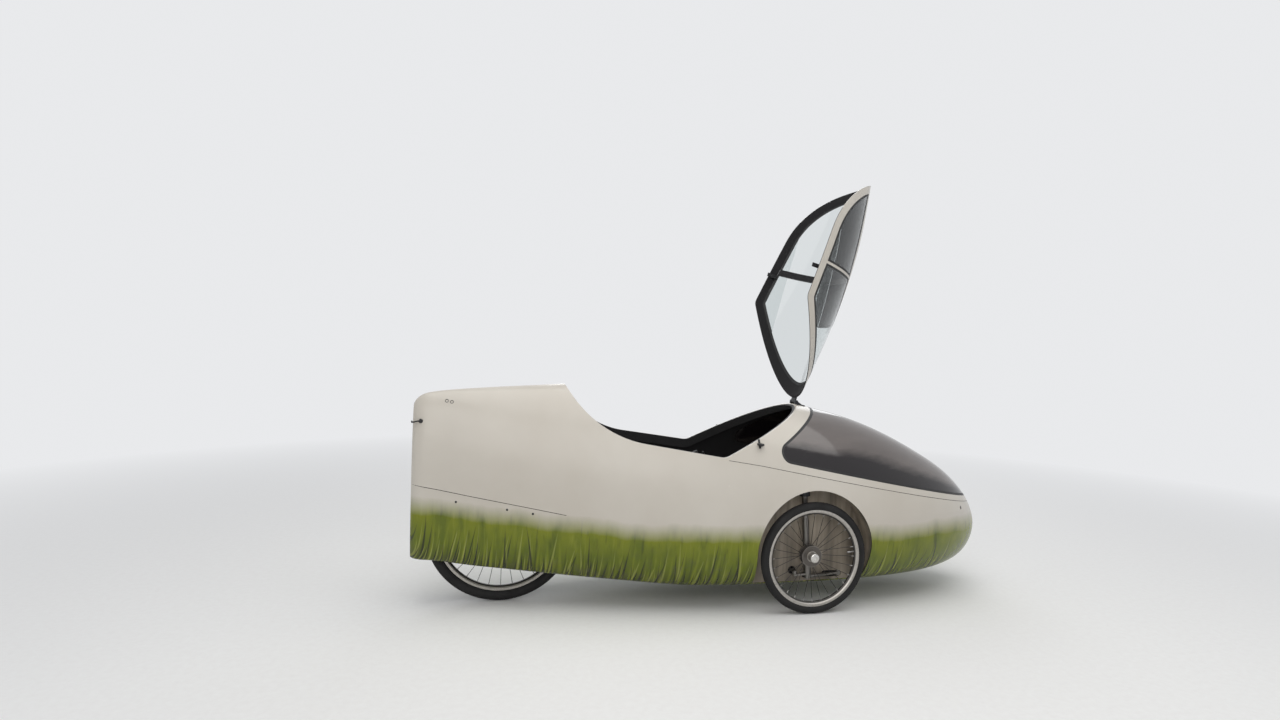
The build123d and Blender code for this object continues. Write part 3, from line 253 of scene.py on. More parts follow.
# Node materials
class Shade:
    """A procedural material, built by short calls that each give back a socket."""

    def __init__(self, name, colour, settings=None):
        self.material = bpy.data.materials.new(name)
        self.material.use_nodes = True
        self.tree = self.material.node_tree
        self.shader = self.tree.nodes["Principled BSDF"]
        self.place = self.add("ShaderNodeTexCoord").outputs["Object"]
        self.set("Base Color", colour)
        for socket, value in (settings or {}).items():
            self.set(socket, value)

    def add(self, kind, **fields):
        node = self.tree.nodes.new(kind)
        for field, value in fields.items():
            setattr(node, field, value)
        return node

    def feed(self, socket, value):
        if isinstance(value, bpy.types.NodeSocket):
            self.tree.links.new(value, socket)
        else:
            socket.default_value = value

    def set(self, socket, value):
        self.feed(self.shader.inputs[socket], value)

    def math(self, operation, *values):
        node = self.add("ShaderNodeMath", operation=operation)
        for socket, value in zip(node.inputs, values):
            self.feed(socket, value)
        return node.outputs[0]

    def axes(self, vector=None):
        node = self.add("ShaderNodeSeparateXYZ")
        self.feed(node.inputs[0], vector or self.place)
        return node.outputs[0], node.outputs[1], node.outputs[2]

    def joined(self, x, y, z):
        node = self.add("ShaderNodeCombineXYZ")
        for socket, value in zip(node.inputs, (x, y, z)):
            self.feed(socket, value)
        return node.outputs[0]

    def stretched(self, x, y, z):
        node = self.add("ShaderNodeVectorMath", operation="MULTIPLY")
        self.feed(node.inputs[0], self.place)
        node.inputs[1].default_value = (x, y, z)
        return node.outputs[0]

    def noise(self, scale, detail=2.0, vector=None, roughness=0.5):
        node = self.add("ShaderNodeTexNoise")
        self.feed(node.inputs["Vector"], vector or self.place)
        node.inputs["Scale"].default_value = scale
        node.inputs["Detail"].default_value = detail
        node.inputs["Roughness"].default_value = roughness
        return node.outputs["Fac"]

    def cells(self, scale):
        node = self.add("ShaderNodeTexVoronoi")
        self.feed(node.inputs["Vector"], self.place)
        node.inputs["Scale"].default_value = scale
        return node.outputs["Distance"]

    def chance(self, vector):
        """A random number for each whole-number vector."""
        node = self.add("ShaderNodeTexWhiteNoise", noise_dimensions="3D")
        self.feed(node.inputs["Vector"], vector)
        return node.outputs["Value"]

    def normal(self):
        return self.add("ShaderNodeTexCoord").outputs["Normal"]

    def facing(self, middle):
        """1 on faces that look towards a point, and 0 on the others."""
        offset = self.add("ShaderNodeVectorMath", operation="SUBTRACT")
        self.feed(offset.inputs[0], self.place)
        offset.inputs[1].default_value = middle
        product = self.add("ShaderNodeVectorMath", operation="DOT_PRODUCT")
        self.feed(product.inputs[0], self.normal())
        self.feed(product.inputs[1], offset.outputs[0])
        return self.span(product.outputs["Value"], 0.0, -0.004)

    def span(self, value, low, high, to_low=0.0, to_high=1.0):
        node = self.add("ShaderNodeMapRange")
        for name, number in (
            ("Value", value),
            ("From Min", low),
            ("From Max", high),
            ("To Min", to_low),
            ("To Max", to_high),
        ):
            self.feed(node.inputs[name], number)
        return node.outputs[0]

    def mix(self, factor, first, second):
        node = self.add("ShaderNodeMix", data_type="RGBA")
        self.feed(node.inputs[0], factor)
        self.feed(node.inputs[6], first)
        self.feed(node.inputs[7], second)
        return node.outputs[2]

    def bump(self, height, distance, strength):
        node = self.add("ShaderNodeBump")
        node.inputs["Strength"].default_value = strength
        node.inputs["Distance"].default_value = distance
        self.feed(node.inputs["Height"], height)
        self.set("Normal", node.outputs["Normal"])


def gelcoat(name, middle, grass=False):
    """Slightly cloudy white gloss, with road dirt low down and a matt black inner side."""
    white = paint(205, 199, 189)
    shade = Shade(name, white, {"IOR": 1.48})
    height = shade.axes()[2]
    cloud = shade.noise(2.4, 4.0)
    tint = shade.mix(shade.span(cloud, 0.35, 0.65), white, paint(197, 190, 179))
    if grass:
        tint = grass_band(shade, tint)
    grime = shade.noise(26.0, 6.0, roughness=0.7)
    low_down = shade.span(height, 0.10, 0.30, 0.6, 0.0)
    dirt = shade.math("MULTIPLY", shade.span(grime, 0.48, 0.75), low_down)
    inner = shade.facing(middle)
    tint = shade.mix(dirt, tint, paint(92, 84, 72))
    shade.set("Base Color", shade.mix(inner, tint, paint(25, 24, 26)))
    scuffs = shade.noise(7.0, 5.0, roughness=0.6)
    gloss = shade.span(scuffs, 0.3, 0.75, 0.20, 0.28)
    shade.set("Roughness", shade.math("MAXIMUM", gloss, shade.math("MULTIPLY", inner, 0.85)))
    shade.bump(shade.noise(5.0, 1.0), 0.0012, 0.2)
    return shade.material


def blade_row(shade, along, line, height, row):
    """Mask of one row of grass blades: each leans, bends and tapers in its own cell."""
    period, drop, reach, half, lean, soft, seed = row
    column = shade.math("ADD", shade.math("DIVIDE", along, period), seed * 0.37)
    cell = shade.math("FLOOR", column)

    def chance(draw):
        return shade.chance(shade.joined(cell, seed, draw))

    slant = shade.math("SUBTRACT", chance(5.0), 0.3)
    spot = shade.span(chance(9.0), 0.0, 1.0, -0.12, 0.12)
    fall = shade.span(chance(1.0), 0.0, 1.0, drop[0], drop[1])
    below = shade.math("SUBTRACT", shade.math("SUBTRACT", line, fall), height)
    depth = shade.math("DIVIDE", below, reach)
    left = shade.math("MAXIMUM", shade.math("SUBTRACT", 1.0, depth), 0.0)
    rise = shade.math("POWER", left, 1.5)
    bend = shade.math("MULTIPLY", slant, shade.math("MULTIPLY", rise, lean))
    across = shade.math("SUBTRACT", shade.math("FRACT", column), 0.5)
    off = shade.math("ABSOLUTE", shade.math("SUBTRACT", across, shade.math("ADD", spot, bend)))
    taper = shade.math("POWER", shade.span(depth, 0.0, 0.75), 0.6)
    width = shade.math("SUBTRACT", shade.math("MULTIPLY", taper, half + soft), soft)
    return shade.span(shade.math("SUBTRACT", width, off), -soft / 2, soft)


def grass_band(shade, base):
    """A generic band of grass along the body's lower edge, which fades out upwards."""
    x, y, z = shade.axes()
    ends = shade.span(shade.math("ABSOLUTE", x), 1.0, 1.37, 0.0, 0.9)
    sides = shade.math("MULTIPLY", shade.math("SIGN", y), 2.6)
    along = shade.math("ADD", shade.math("ADD", x, shade.math("MULTIPLY", y, ends)), sides)
    rear_rise = shade.span(x, -0.45, -1.30, 0.0, 0.082)
    wave = shade.noise(2.3, 1.0, shade.joined(along, 0.0, 0.0))
    drift = shade.span(wave, 0.3, 0.7, -0.012, 0.012)
    level = shade.span(x, 0.0, 1.3, 0.374, 0.350)
    line = shade.math("ADD", shade.math("ADD", level, rear_rise), drift)
    down = shade.math("SUBTRACT", line, z)

    def stems(fine, place, tall):
        run = shade.math("MULTIPLY", along, fine)
        return shade.noise(1.0, 3.0, shade.joined(run, place, shade.math("MULTIPLY", z, tall)))

    clumps = stems(15.0, 0.0, 6.0)
    strands = stems(55.0, 3.0, 8.0)
    depth = shade.math("ADD", down, shade.span(clumps, 0.3, 0.7, -0.006, 0.006))
    colour = GRASS_TOP
    for near, far, tint in GRASS_DEPTHS:
        colour = shade.mix(shade.span(depth, near, far), colour, tint)
    for streaks, low, high, strength, tint in (
        (clumps, 0.48, 0.66, 0.7, paint(84, 98, 0)),
        (strands, 0.55, 0.75, 0.6, paint(136, 142, 44)),
        (strands, 0.42, 0.28, 0.6, paint(58, 68, 0)),
    ):
        colour = shade.mix(shade.span(streaks, low, high, 0.0, strength), colour, tint)
    for row, tint, strength in GRASS_ROWS:
        mask = blade_row(shade, along, line, z, row)
        colour = shade.mix(shade.math("MULTIPLY", mask, strength), colour, tint)
    # Darker near the lower edge: dark soil in the print, with a painted shadow.
    patches = shade.span(strands, 0.35, 0.6, 0.75, 0.2)
    soil_and_shadow = shade.math("MULTIPLY", shade.span(down, 0.20, 0.32), patches)
    colour = shade.mix(soil_and_shadow, colour, paint(40, 42, 14))
    return shade.mix(shade.span(depth, -0.026, 0.052), base, colour)


def glass(name, tint, dust):
    """Polycarbonate: clear, with a little dust."""
    shade = Shade(name, tint, {"Transmission Weight": 1.0, "IOR": 1.36})
    film = shade.noise(34.0, 8.0, roughness=0.7)
    shade.set("Roughness", shade.span(film, 0.5, 0.8, 0.02, dust))
    return shade.material


def smoked(name):
    """Smoked windscreen: dark, with a painted sky reflection where it faces up, and faint streaks
    along it.
    """
    shade = Shade(name, SMOKE_WITH_SKY_REFLECTION, {"Transmission Weight": 0.05, "IOR": 1.5})
    # Faces that look up get a painted sky reflection; the others keep the dark tint.
    upward = shade.axes(shade.normal())[2]
    streak = shade.noise(2.2, 5.0, shade.stretched(0.6, 1.0, 3.0), 0.6)
    level = shade.math("ADD", upward, shade.span(streak, 0.3, 0.7, -0.05, 0.05))
    sky = shade.mix(shade.span(streak, 0.3, 0.7), SMOKE_WITH_SKY_REFLECTION, paint(116, 109, 106))
    shade.set("Base Color", shade.mix(shade.span(level, 0.50, 0.60), paint(34, 30, 32), sky))
    film = shade.noise(34.0, 8.0, roughness=0.7)
    shade.set("Roughness", shade.span(film, 0.5, 0.8, 0.08, 0.2))
    return shade.material


def wheel_metal(name, middle, hub, rim):
    """Bright rim and axle, a dull hub disc, and thin dark spokes between them."""
    shade = Shade(name, paint(180, 176, 170), {"Metallic": 0.75})
    x, _, z = shade.axes()
    out = shade.math("SUBTRACT", x, middle[0])
    up = shade.math("SUBTRACT", z, middle[2])
    square = shade.math("ADD", shade.math("MULTIPLY", out, out), shade.math("MULTIPLY", up, up))
    radius = shade.math("SQRT", square)
    inside = shade.span(radius, rim - RIM_BRIGHT, rim - RIM_BRIGHT - 0.001)
    spoke = shade.math("MULTIPLY", shade.span(radius, hub + 0.003, hub + 0.004), inside)
    grain = shade.noise(90.0, 4.0, shade.stretched(1.0, 8.0, 1.0), 0.6)
    bright = shade.mix(shade.span(grain, 0.3, 0.7), paint(186, 182, 176), paint(158, 154, 148))
    past_axle = shade.span(radius, hub * 0.5, hub * 0.56)
    disc = shade.math("MULTIPLY", past_axle, shade.span(radius, hub * 1.1, hub))
    bright = shade.mix(disc, bright, paint(92, 88, 84))
    shade.set("Base Color", shade.mix(spoke, bright, paint(66, 64, 62)))
    shade.set("Roughness", shade.span(grain, 0.25, 0.75, 0.24, 0.42))
    shade.bump(grain, 0.0002, 0.35)
    return shade.material


def moulded(name, colour, roughness, grain, depth):
    """Moulded plastic or rubber with a fine pebble grain."""
    shade = Shade(name, colour)
    blotch = shade.noise(14.0, 3.0)
    darker = tuple(value * 0.62 for value in colour[:3]) + (1.0,)
    shade.set("Base Color", shade.mix(shade.span(blotch, 0.3, 0.7), colour, darker))
    shade.set("Roughness", shade.span(blotch, 0.3, 0.7, roughness - 0.07, roughness + 0.07))
    shade.bump(shade.cells(grain), depth, 0.6)
    return shade.material


def metal(name, colour, roughness, brush, worn=None):
    """Metal with a brushed or blasted grain along the axes that brush stretches least."""
    shade = Shade(name, colour, {"Metallic": 1.0 if worn is None else 0.35})
    grain = shade.noise(90.0, 4.0, shade.stretched(*brush), 0.6)
    stain = shade.noise(11.0, 4.0)
    dull = tuple(value * 0.72 for value in colour[:3]) + (1.0,)
    tint = shade.mix(shade.span(stain, 0.4, 0.75), colour, dull)
    if worn:
        chips = shade.span(shade.noise(60.0, 6.0, roughness=0.75), 0.66, 0.7)
        tint = shade.mix(chips, tint, worn)
    shade.set("Base Color", tint)
    shade.set("Roughness", shade.span(grain, 0.25, 0.75, roughness - 0.08, roughness + 0.1))
    shade.bump(grain, 0.0002, 0.35)
    return shade.material


def woven(name, colour, thread, roughness, gloss=0.0):
    """Plain weave: two crossed sets of ridges, with lighter crowns that are a painted highlight."""
    shade = Shade(name, colour, {"Sheen Weight": 0.0 if gloss else 0.35, "Coat Weight": gloss})
    x, y, z = shade.axes()
    run = shade.math("ADD", x, z)
    warp = shade.math("SINE", shade.math("MULTIPLY", run, thread))
    weft = shade.math("SINE", shade.math("MULTIPLY", y, thread))
    cloth = shade.math("MULTIPLY", warp, weft)
    fuzz = shade.noise(220.0, 3.0)
    height = shade.math("ADD", cloth, shade.math("MULTIPLY", fuzz, 0.6))
    # Crowns lighter than the hollows by the weave's height: painted highlight.
    crown_highlight = tuple(min(value * 2.3, 1.0) for value in colour[:3]) + (1.0,)
    shade.set("Base Color", shade.mix(shade.span(height, 0.1, 1.4), colour, crown_highlight))
    shade.set("Roughness", shade.span(fuzz, 0.3, 0.7, roughness - 0.06, roughness + 0.06))
    shade.bump(height, 0.0006, 0.8)
    return shade.material


def laid_fibre(name, colour):
    """Grey glass-fibre moulding with faint upright streaks, chopped strands, and a painted shadow
    in patches low down.
    """
    shade = Shade(name, colour)
    streak = shade.noise(16.0, 4.0, shade.stretched(1.0, 1.0, 0.08), 0.6)
    strands = shade.noise(130.0, 5.0, shade.stretched(1.0, 1.0, 0.4), 0.7)
    pale = tuple(value * 1.45 for value in colour[:3]) + (1.0,)
    dark = tuple(value * 0.55 for value in colour[:3]) + (1.0,)
    tint = shade.mix(shade.span(streak, 0.35, 0.7), dark, pale)
    # Lower part darkened in patches: painted shadow.
    low_down = shade.span(shade.axes()[2], 0.12, 0.36, 0.8, 0.05)
    painted_shadow_low = shade.math("MULTIPLY", low_down, shade.noise(18.0, 6.0))
    shade.set("Base Color", shade.mix(painted_shadow_low, tint, paint(58, 54, 48)))
    shade.set("Roughness", shade.span(strands, 0.3, 0.7, 0.42, 0.66))
    shade.bump(strands, 0.0005, 0.5)
    return shade.material


def lens(name, colour):
    """Coloured lamp lens with fine ribs inside."""
    shade = Shade(name, colour, {"Transmission Weight": 0.35, "IOR": 1.49})
    ribs = shade.math("SINE", shade.math("MULTIPLY", shade.axes()[2], 2400.0))
    shade.set("Roughness", shade.span(shade.noise(60.0), 0.3, 0.7, 0.08, 0.2))
    shade.bump(ribs, 0.0004, 0.6)
    return shade.material


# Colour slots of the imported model: what makes each material, and with what
FINISHES = {
    "body_white": (gelcoat, HULL_MIDDLE),
    "tinted_glass": (smoked,),
    "clear_glass": (glass, paint(232, 236, 236), 0.1),
    "black_seal": (moulded, BLACK_RUBBER, 0.5, 420.0, 0.0003),
    "black_lining": (woven, paint(30, 29, 31), 1500.0, 0.9),
    "black_fitting": (moulded, paint(34, 34, 36), 0.5, 900.0, 0.0002),
    "dark_metal": (metal, paint(44, 45, 48), 0.42, (1.0, 1.0, 1.0), paint(120, 120, 122)),
    "house_grey": (laid_fibre, paint(158, 147, 132)),
    "strut_alloy": (metal, paint(128, 125, 121), 0.36, (1.0, 4.0, 0.3)),
    "rim_alloy": (metal, paint(150, 147, 143), 0.4, (1.0, 8.0, 1.0)),
    "tyre_black": (moulded, paint(22, 21, 21), 0.8, 700.0, 0.0003),
    "drive_steel": (metal, paint(150, 148, 146), 0.36, (1.0, 1.0, 1.0)),
    "tube_plastic": (moulded, paint(60, 61, 64), 0.4, 1200.0, 0.0001),
    "seat_laminate": (woven, paint(34, 35, 38), 900.0, 0.35, 0.6),
    "pad_fabric": (woven, paint(44, 45, 49), 1300.0, 0.88),
    "grip_rubber": (moulded, paint(30, 30, 31), 0.72, 640.0, 0.0005),
    "lamp_amber": (lens, paint(70, 42, 22)),
    "lamp_red": (lens, paint(170, 22, 20)),
}
materials = {slot: kind(slot, *values) for slot, (kind, *values) in FINISHES.items()}
grass_paint = gelcoat("body_white_grass", HULL_MIDDLE, grass=True)
canopy_paint = gelcoat("canopy_white", CANOPY_MIDDLE)
hub_chrome = metal("hub_chrome", paint(206, 204, 200), 0.2, (1.0, 1.0, 1.0))
hole_black = moulded("hole_black", paint(12, 12, 12), 0.85, 500.0, 0.0001)


def finish_with(obj, material):
    obj.data.materials.clear()
    obj.data.materials.append(material)


for subpart in frame["record"]["subparts"]:
    finish_with(nodes[subpart["node"]], materials[subpart["material_slot"]])
finish_with(nodes["lower_hull"], grass_paint)


# Mesh building
def placed(name, data):
    """New object in the scene with this data."""
    obj = bpy.data.objects.new(name, data)
    bpy.context.scene.collection.objects.link(obj)
    return obj


def copy_of(name, node):
    obj = placed(name, nodes[node].data.copy())
    obj.data.materials.clear()
    return obj


def weld(obj, distance):
    obj.modifiers.new("weld", "WELD").merge_threshold = distance


def apply_modifiers(obj):
    graph = bpy.context.evaluated_depsgraph_get()
    mesh = bpy.data.meshes.new_from_object(obj.evaluated_get(graph))
    obj.modifiers.clear()
    obj.data = mesh


def edit_start(mesh):
    shape = bmesh.new()
    shape.from_mesh(mesh)
    return shape


def edit_end(shape, mesh):
    shape.to_mesh(mesh)
    shape.free()


def smooth_below(shape, angle):
    """Smooth shading, apart from edges at which the surface turns by more than an angle."""
    for edge in shape.edges:
        edge.smooth = edge.is_manifold and edge.calc_face_angle(0.0) < math.radians(angle)
    for face in shape.faces:
        face.smooth = True


def ring(centre, across, other, radius, sides):
    """Points round a centre, in the plane of two directions."""
    return [
        centre
        + across * (radius * math.cos(2 * math.pi * k / sides))
        + other * (radius * math.sin(2 * math.pi * k / sides))
        for k in range(sides)
    ]


class Builder:
    """Gathers simple shapes into one mesh."""

    def __init__(self):
        self.verts = []
        self.faces = []

    def grid(self, rows, closed_rows=False, closed_columns=False):
        """Skin of quads over rows of points."""
        start = len(self.verts)
        wide = len(rows[0])
        for row in rows:
            self.verts.extend(row)
        row_count = len(rows) if closed_rows else len(rows) - 1
        column_count = wide if closed_columns else wide - 1
        for i in range(row_count):
            for j in range(column_count):
                a = start + i * wide + j
                b = start + i * wide + (j + 1) % wide
                c = start + (i + 1) % len(rows) * wide + (j + 1) % wide
                d = start + (i + 1) % len(rows) * wide + j
                self.faces.append((a, b, c, d))
        return start

    def cap(self, start, count, turned=False):
        corners = list(range(start, start + count))
        self.faces.append(tuple(reversed(corners)) if turned else tuple(corners))

    def capped(self, rows):
        """Closed rows as a solid, with a face on its first and last row."""
        sides = len(rows[0])
        start = self.grid(rows, closed_columns=True)
        self.cap(start, sides, turned=True)
        self.cap(start + (len(rows) - 1) * sides, sides)

    def lathe(self, foot, axis, profile, sides=24):
        """Turned solid on an axis: profile holds (distance along, radius)."""
        axis = Vector(axis).normalized()
        across = axis.orthogonal().normalized()
        other = axis.cross(across)
        self.capped([
            ring(Vector(foot) + axis * along, across, other, radius, sides)
            for along, radius in profile
        ])

    def tube(self, path, radius, sides=6):
        """Round bar along points."""
        rows = []
        for index, point in enumerate(path):
            before = path[max(index - 1, 0)]
            after = path[min(index + 1, len(path) - 1)]
            run = (after - before).normalized()
            across = run.cross(Vector((0, 0, 1))).normalized()
            rows.append(ring(point, across, run.cross(across), radius, sides))
        self.capped(rows)

    def mesh(self, name):
        mesh = bpy.data.meshes.new(name)
        mesh.from_pydata([tuple(v) for v in self.verts], [], self.faces)
        return mesh

    def piece(self, name, body, material):
        mesh = self.mesh(name)
        shape = edit_start(mesh)
        bmesh.ops.recalc_face_normals(shape, faces=shape.faces)
        smooth_below(shape, SHARP)
        edit_end(shape, mesh)
        obj = placed(name, mesh)
        obj.data.materials.append(material)
        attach(obj, body)


# Body surface, for pieces that lie on it
def surface(*names):
    verts, faces = [], []
    for name in names:
        mesh = nodes[name].data
        start = len(verts)
        verts.extend(v.co.copy() for v in mesh.vertices)
        faces.extend(tuple(start + index for index in face.vertices) for face in mesh.polygons)
    return BVHTree.FromPolygons(verts, faces)


hull_surface = surface("lower_hull", "upper_hull")


def on_side(x, z, hand):
    """Point and normal where a line across the vehicle first meets one side of the body."""
    point, normal, _, _ = hull_surface.ray_cast(Vector((x, hand, z)), Vector((0, -hand, 0)))
    return point, normal


def seam_path(corners, hand):
    path = []
    for start, end in zip(corners, corners[1:]):
        steps = max(2, round(math.dist(start, end) / SEAM_STEP))
        for step in range(steps + 1):
            share = step / steps
            x = start[0] + (end[0] - start[0]) * share
            z = start[1] + (end[1] - start[1]) * share
            point, normal = on_side(x, z, hand)
            if point is not None and (not path or (point - path[-1]).length > SEAM_STEP / 4):
                path.append(point - normal * SEAM_SINK)
    return path


def panel_seams():
    for label, corners in (("tail", TAIL_SEAM), ("window", WINDOW_SEAM)):
        seams = Builder()
        for hand in (1, -1):
            seams.tube(seam_path(corners, hand), SEAM_RADIUS)
        seams.piece(f"{label}_seams", "hull", hole_black)


def screws_and_vents():
    for name, places, profile, slot in (
        ("panel_screws", TAIL_SCREWS, SCREW_PROFILE, "dark_metal"),
        ("tail_vents", TAIL_VENTS, VENT_PROFILE, "black_fitting"),
    ):
        turned = Builder()
        for hand in (1, -1):
            for x, z in places:
                point, normal = on_side(x, z, hand)
                turned.lathe(point, normal, profile)
        turned.piece(name, "hull", materials[slot])


def tail_hook():
    """Small black hook on one side of the tail, whose end stands out behind it."""
    point, normal = on_side(*HOOK_PLACE, -1)
    hook = Builder()
    hook.lathe(point, normal, HOOK_PROFILE, sides=20)
    path = [point + normal * out + Vector(offset) for out, offset in HOOK_RUN]
    hook.tube(path, HOOK_RADIUS, sides=10)
    hook.piece("tail_hook", "hull", materials["black_fitting"])


def mirror_feet():
    """Black foot under each mirror bracket, with a short branch towards the front."""
    x, z = MIRROR
    low, high = (z - FOOT_HALF * share for share in BRANCH_ENDS)
    upright = [(x, z + FOOT_HALF), (x, z), (x, z - FOOT_HALF)]
    branch = [(x, low), (x + FOOT_BRANCH, high)]
    feet = Builder()
    for hand in (1, -1):
        for run in (upright, branch):
            spots = [on_side(*place, hand) for place in run]
            path = [point + normal * FOOT_LIFT for point, normal in spots]
            feet.tube(path, FOOT_RADIUS, sides=10)
    feet.piece("mirror_feet", "hull", materials["black_fitting"])


def brake_levers():
    """Lever in front of each grip of the tiller, on a short root from its bar."""
    lean = math.radians(GRIP_LEAN)
    up = Vector((-math.sin(lean), 0.0, math.cos(lean)))
    ahead = Vector((math.cos(lean), 0.0, math.sin(lean)))
    levers = Builder()
    for hand in (1, -1):
        root = Vector(BAR_CENTRE) + Vector((0.0, hand * LEVER_ROOT, 0.0))
        bend = Vector(BAR_CENTRE) + Vector((0.0, hand * LEVER_BEND, 0.0)) + ahead * LEVER_REACH
        elbow = root.lerp(bend, LEVER_ELBOW)
        path = [root, elbow, bend + up * LEVER_CURVE, bend + up * LEVER_LENGTH]
        levers.tube(path, LEVER_RADIUS, sides=10)
    levers.piece("brake_levers", "tiller", materials["dark_metal"])


panel_seams()
screws_and_vents()
tail_hook()
mirror_feet()
brake_levers()


# Wheels: tread, nipples, valves and caps
def wheel_place(wheel):
    low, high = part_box(f"{wheel.name}_tyre")
    return (low + high) / 2, (high.z - low.z) / 2, (high.y - low.y) / 2


def tread(wheel):
    """Two rows of slanted pads round a tyre, and two ribs on each sidewall."""
    centre, radius, half = wheel_place(wheel)
    pads = Builder()

    def spot(angle, across, lift):
        reach = radius - half + math.sqrt(half ** 2 - across ** 2) + lift
        return centre + Vector((math.cos(angle) * reach, across, math.sin(angle) * reach))

    pitch = 2 * math.pi / wheel.chevrons
    wide = pitch * PAD_HALF
    count = len(PAD_SECTION)
    for index in range(wheel.chevrons):
        for hand in (1, -1):
            start = pitch * (index + (0.5 if hand < 0 else 0.0))
            rows = []
            for share in PAD_SHARES:
                across = hand * (PAD_START + PAD_RUN * share) * half
                skew = start + pitch * PAD_SLANT * share
                rows.append([spot(skew + wide * at, across, lift) for at, lift in PAD_SECTION])
            first = pads.grid(rows)
            pads.cap(first, count)
            pads.cap(first + (len(rows) - 1) * count, count, turned=True)
    for hand in (1, -1):
        for place in RIB_PLACES:
            rows = [
                [
                    spot(2 * math.pi * k / RIB_SIDES, hand * (place + at) * half, lift)
                    for at, lift in RIB_SECTION
                ]
                for k in range(RIB_SIDES)
            ]
            pads.grid(rows, closed_rows=True)
    pads.piece(f"{wheel.name}_tread", wheel.body, materials["tyre_black"])


def nipples_and_valve(wheel):
    centre = wheel_place(wheel)[0]
    fittings = Builder()
    reach = wheel.rim - RIM_DEPTH + NIPPLE_SINK
    for index in range(wheel.spokes):
        flange = wheel.hand * (wheel.flange_in if index % 2 else wheel.flange_out)
        angle = math.radians(index * 360 / wheel.spokes)
        swept = angle + math.radians(SPOKE_SWEEP if index % 4 < 2 else -SPOKE_SWEEP)
        low = centre + Vector((math.cos(swept) * wheel.hub, flange, math.sin(swept) * wheel.hub))
        top = centre + Vector((math.cos(angle) * reach, 0, math.sin(angle) * reach))
        fittings.lathe(top, low - top, NIPPLE_PROFILE, sides=8)
    angle = math.radians(180 / wheel.spokes)
    spoke_gap = Vector((math.cos(angle), 0, math.sin(angle)))
    fittings.lathe(centre + spoke_gap * reach, -spoke_gap, VALVE_PROFILE, sides=12)
    fittings.piece(f"{wheel.name}_nipples", wheel.body, materials["drive_steel"])


def axle_cap(wheel):
    """Domed cap on the outer end of a front hub."""
    face = wheel_place(wheel)[0] + Vector((0, wheel.hand * CAP_PLACE, 0))
    cap = Builder()
    cap.lathe(face, (0, wheel.hand, 0), CAP_PROFILE, sides=32)
    cap.piece(f"{wheel.name}_cap", wheel.body, hub_chrome)


for wheel in WHEELS:
    centre = wheel_place(wheel)[0]
    finish = wheel_metal(f"{wheel.name}_metal", centre, wheel.hub, wheel.rim)
    finish_with(nodes[wheel.body], finish)
    tread(wheel)
    nipples_and_valve(wheel)
    if wheel.name != "rear":
        axle_cap(wheel)


# Canopy panes: larger than on the solids, up to the edge of the roof
def opened(x, y, z):
    """Place on the open canopy of a point of the shut one."""
    turn = math.radians(CANOPY_TURN)
    ahead, above = x - HINGE[0], z - HINGE[1]
    return Vector((
        HINGE[0] + ahead * math.cos(turn) + above * math.sin(turn),
        y,
        HINGE[1] - ahead * math.sin(turn) + above * math.cos(turn),
    ))


def sill_line(inset):
    """The sill in side view, drawn in by a distance, with its runs carried on past both ends."""
    points = [Vector(point) for point in SILL]
    path = []
    for corner, radius in zip((1, 2), SILL_RADII):
        before = (points[corner - 1] - points[corner]).normalized()
        after = (points[corner + 1] - points[corner]).normalized()
        half = before.angle(after) / 2
        middle = points[corner] + (before + after).normalized() * (radius / math.sin(half))
        spoke = points[corner] + before * (radius / math.tan(half)) - middle
        start = math.atan2(spoke.y, spoke.x)
        for step in range(SILL_STEPS + 1):
            angle = start + (math.pi - 2 * half) * step / SILL_STEPS
            path.append(middle + Vector((math.cos(angle), math.sin(angle))) * (radius - inset))
    path.insert(0, path[0] + (points[0] - points[1]).normalized())
    path.append(path[-1] + (points[3] - points[2]).normalized())
    return path


def turn_outward(obj, middle=None):
    """Gives a closed mesh outward faces, and an open one faces that look away from a point."""
    shape = edit_start(obj.data)
    bmesh.ops.recalc_face_normals(shape, faces=shape.faces)
    if middle is not None:
        away = sum(
            math.copysign(1, face.normal.dot(face.calc_center_median() - middle))
            for face in shape.faces
        )
        if away < 0:
            bmesh.ops.reverse_faces(shape, faces=shape.faces)
    edit_end(shape, obj.data)


def prism(name, outline):
    """Solid across the vehicle from a side view of the shut canopy, turned open with it."""
    solid = Builder()
    solid.capped([[opened(x, hand * CUT_HALF, z) for x, z in outline] for hand in (1, -1)])
    obj = placed(name, solid.mesh(name))
    turn_outward(obj)
    return obj


def rectangle(low, high):
    return [(low[0], low[1]), (high[0], low[1]), (high[0], high[1]), (low[0], high[1])]


def carve(obj, operation, *cutters):
    for cutter in cutters:
        cut = obj.modifiers.new("cut", "BOOLEAN")
        cut.operation = operation
        cut.solver = "EXACT"
        cut.object = cutter
    apply_modifiers(obj)


def discard(*solids):
    for solid in solids:
        bpy.data.objects.remove(solid, do_unlink=True)


def openings(name, inset):
    """The panes' openings on both sides, smaller all round by an inset."""
    line = [tuple(point) for point in sill_line(RIM_INSET + inset)]
    reach = prism(name, line + CUT_TOP)
    rear, front = PILLAR
    pillar = prism("pillar", rectangle((rear - inset, CUT_LOW), (front + inset, CUT_HIGH)))
    roof = prism("roof", rectangle((CUT_REAR, PANE_TOP - inset), (ROOF_FRONT + inset, CUT_HIGH)))
    carve(reach, "DIFFERENCE", pillar, roof)
    discard(pillar, roof)
    return reach


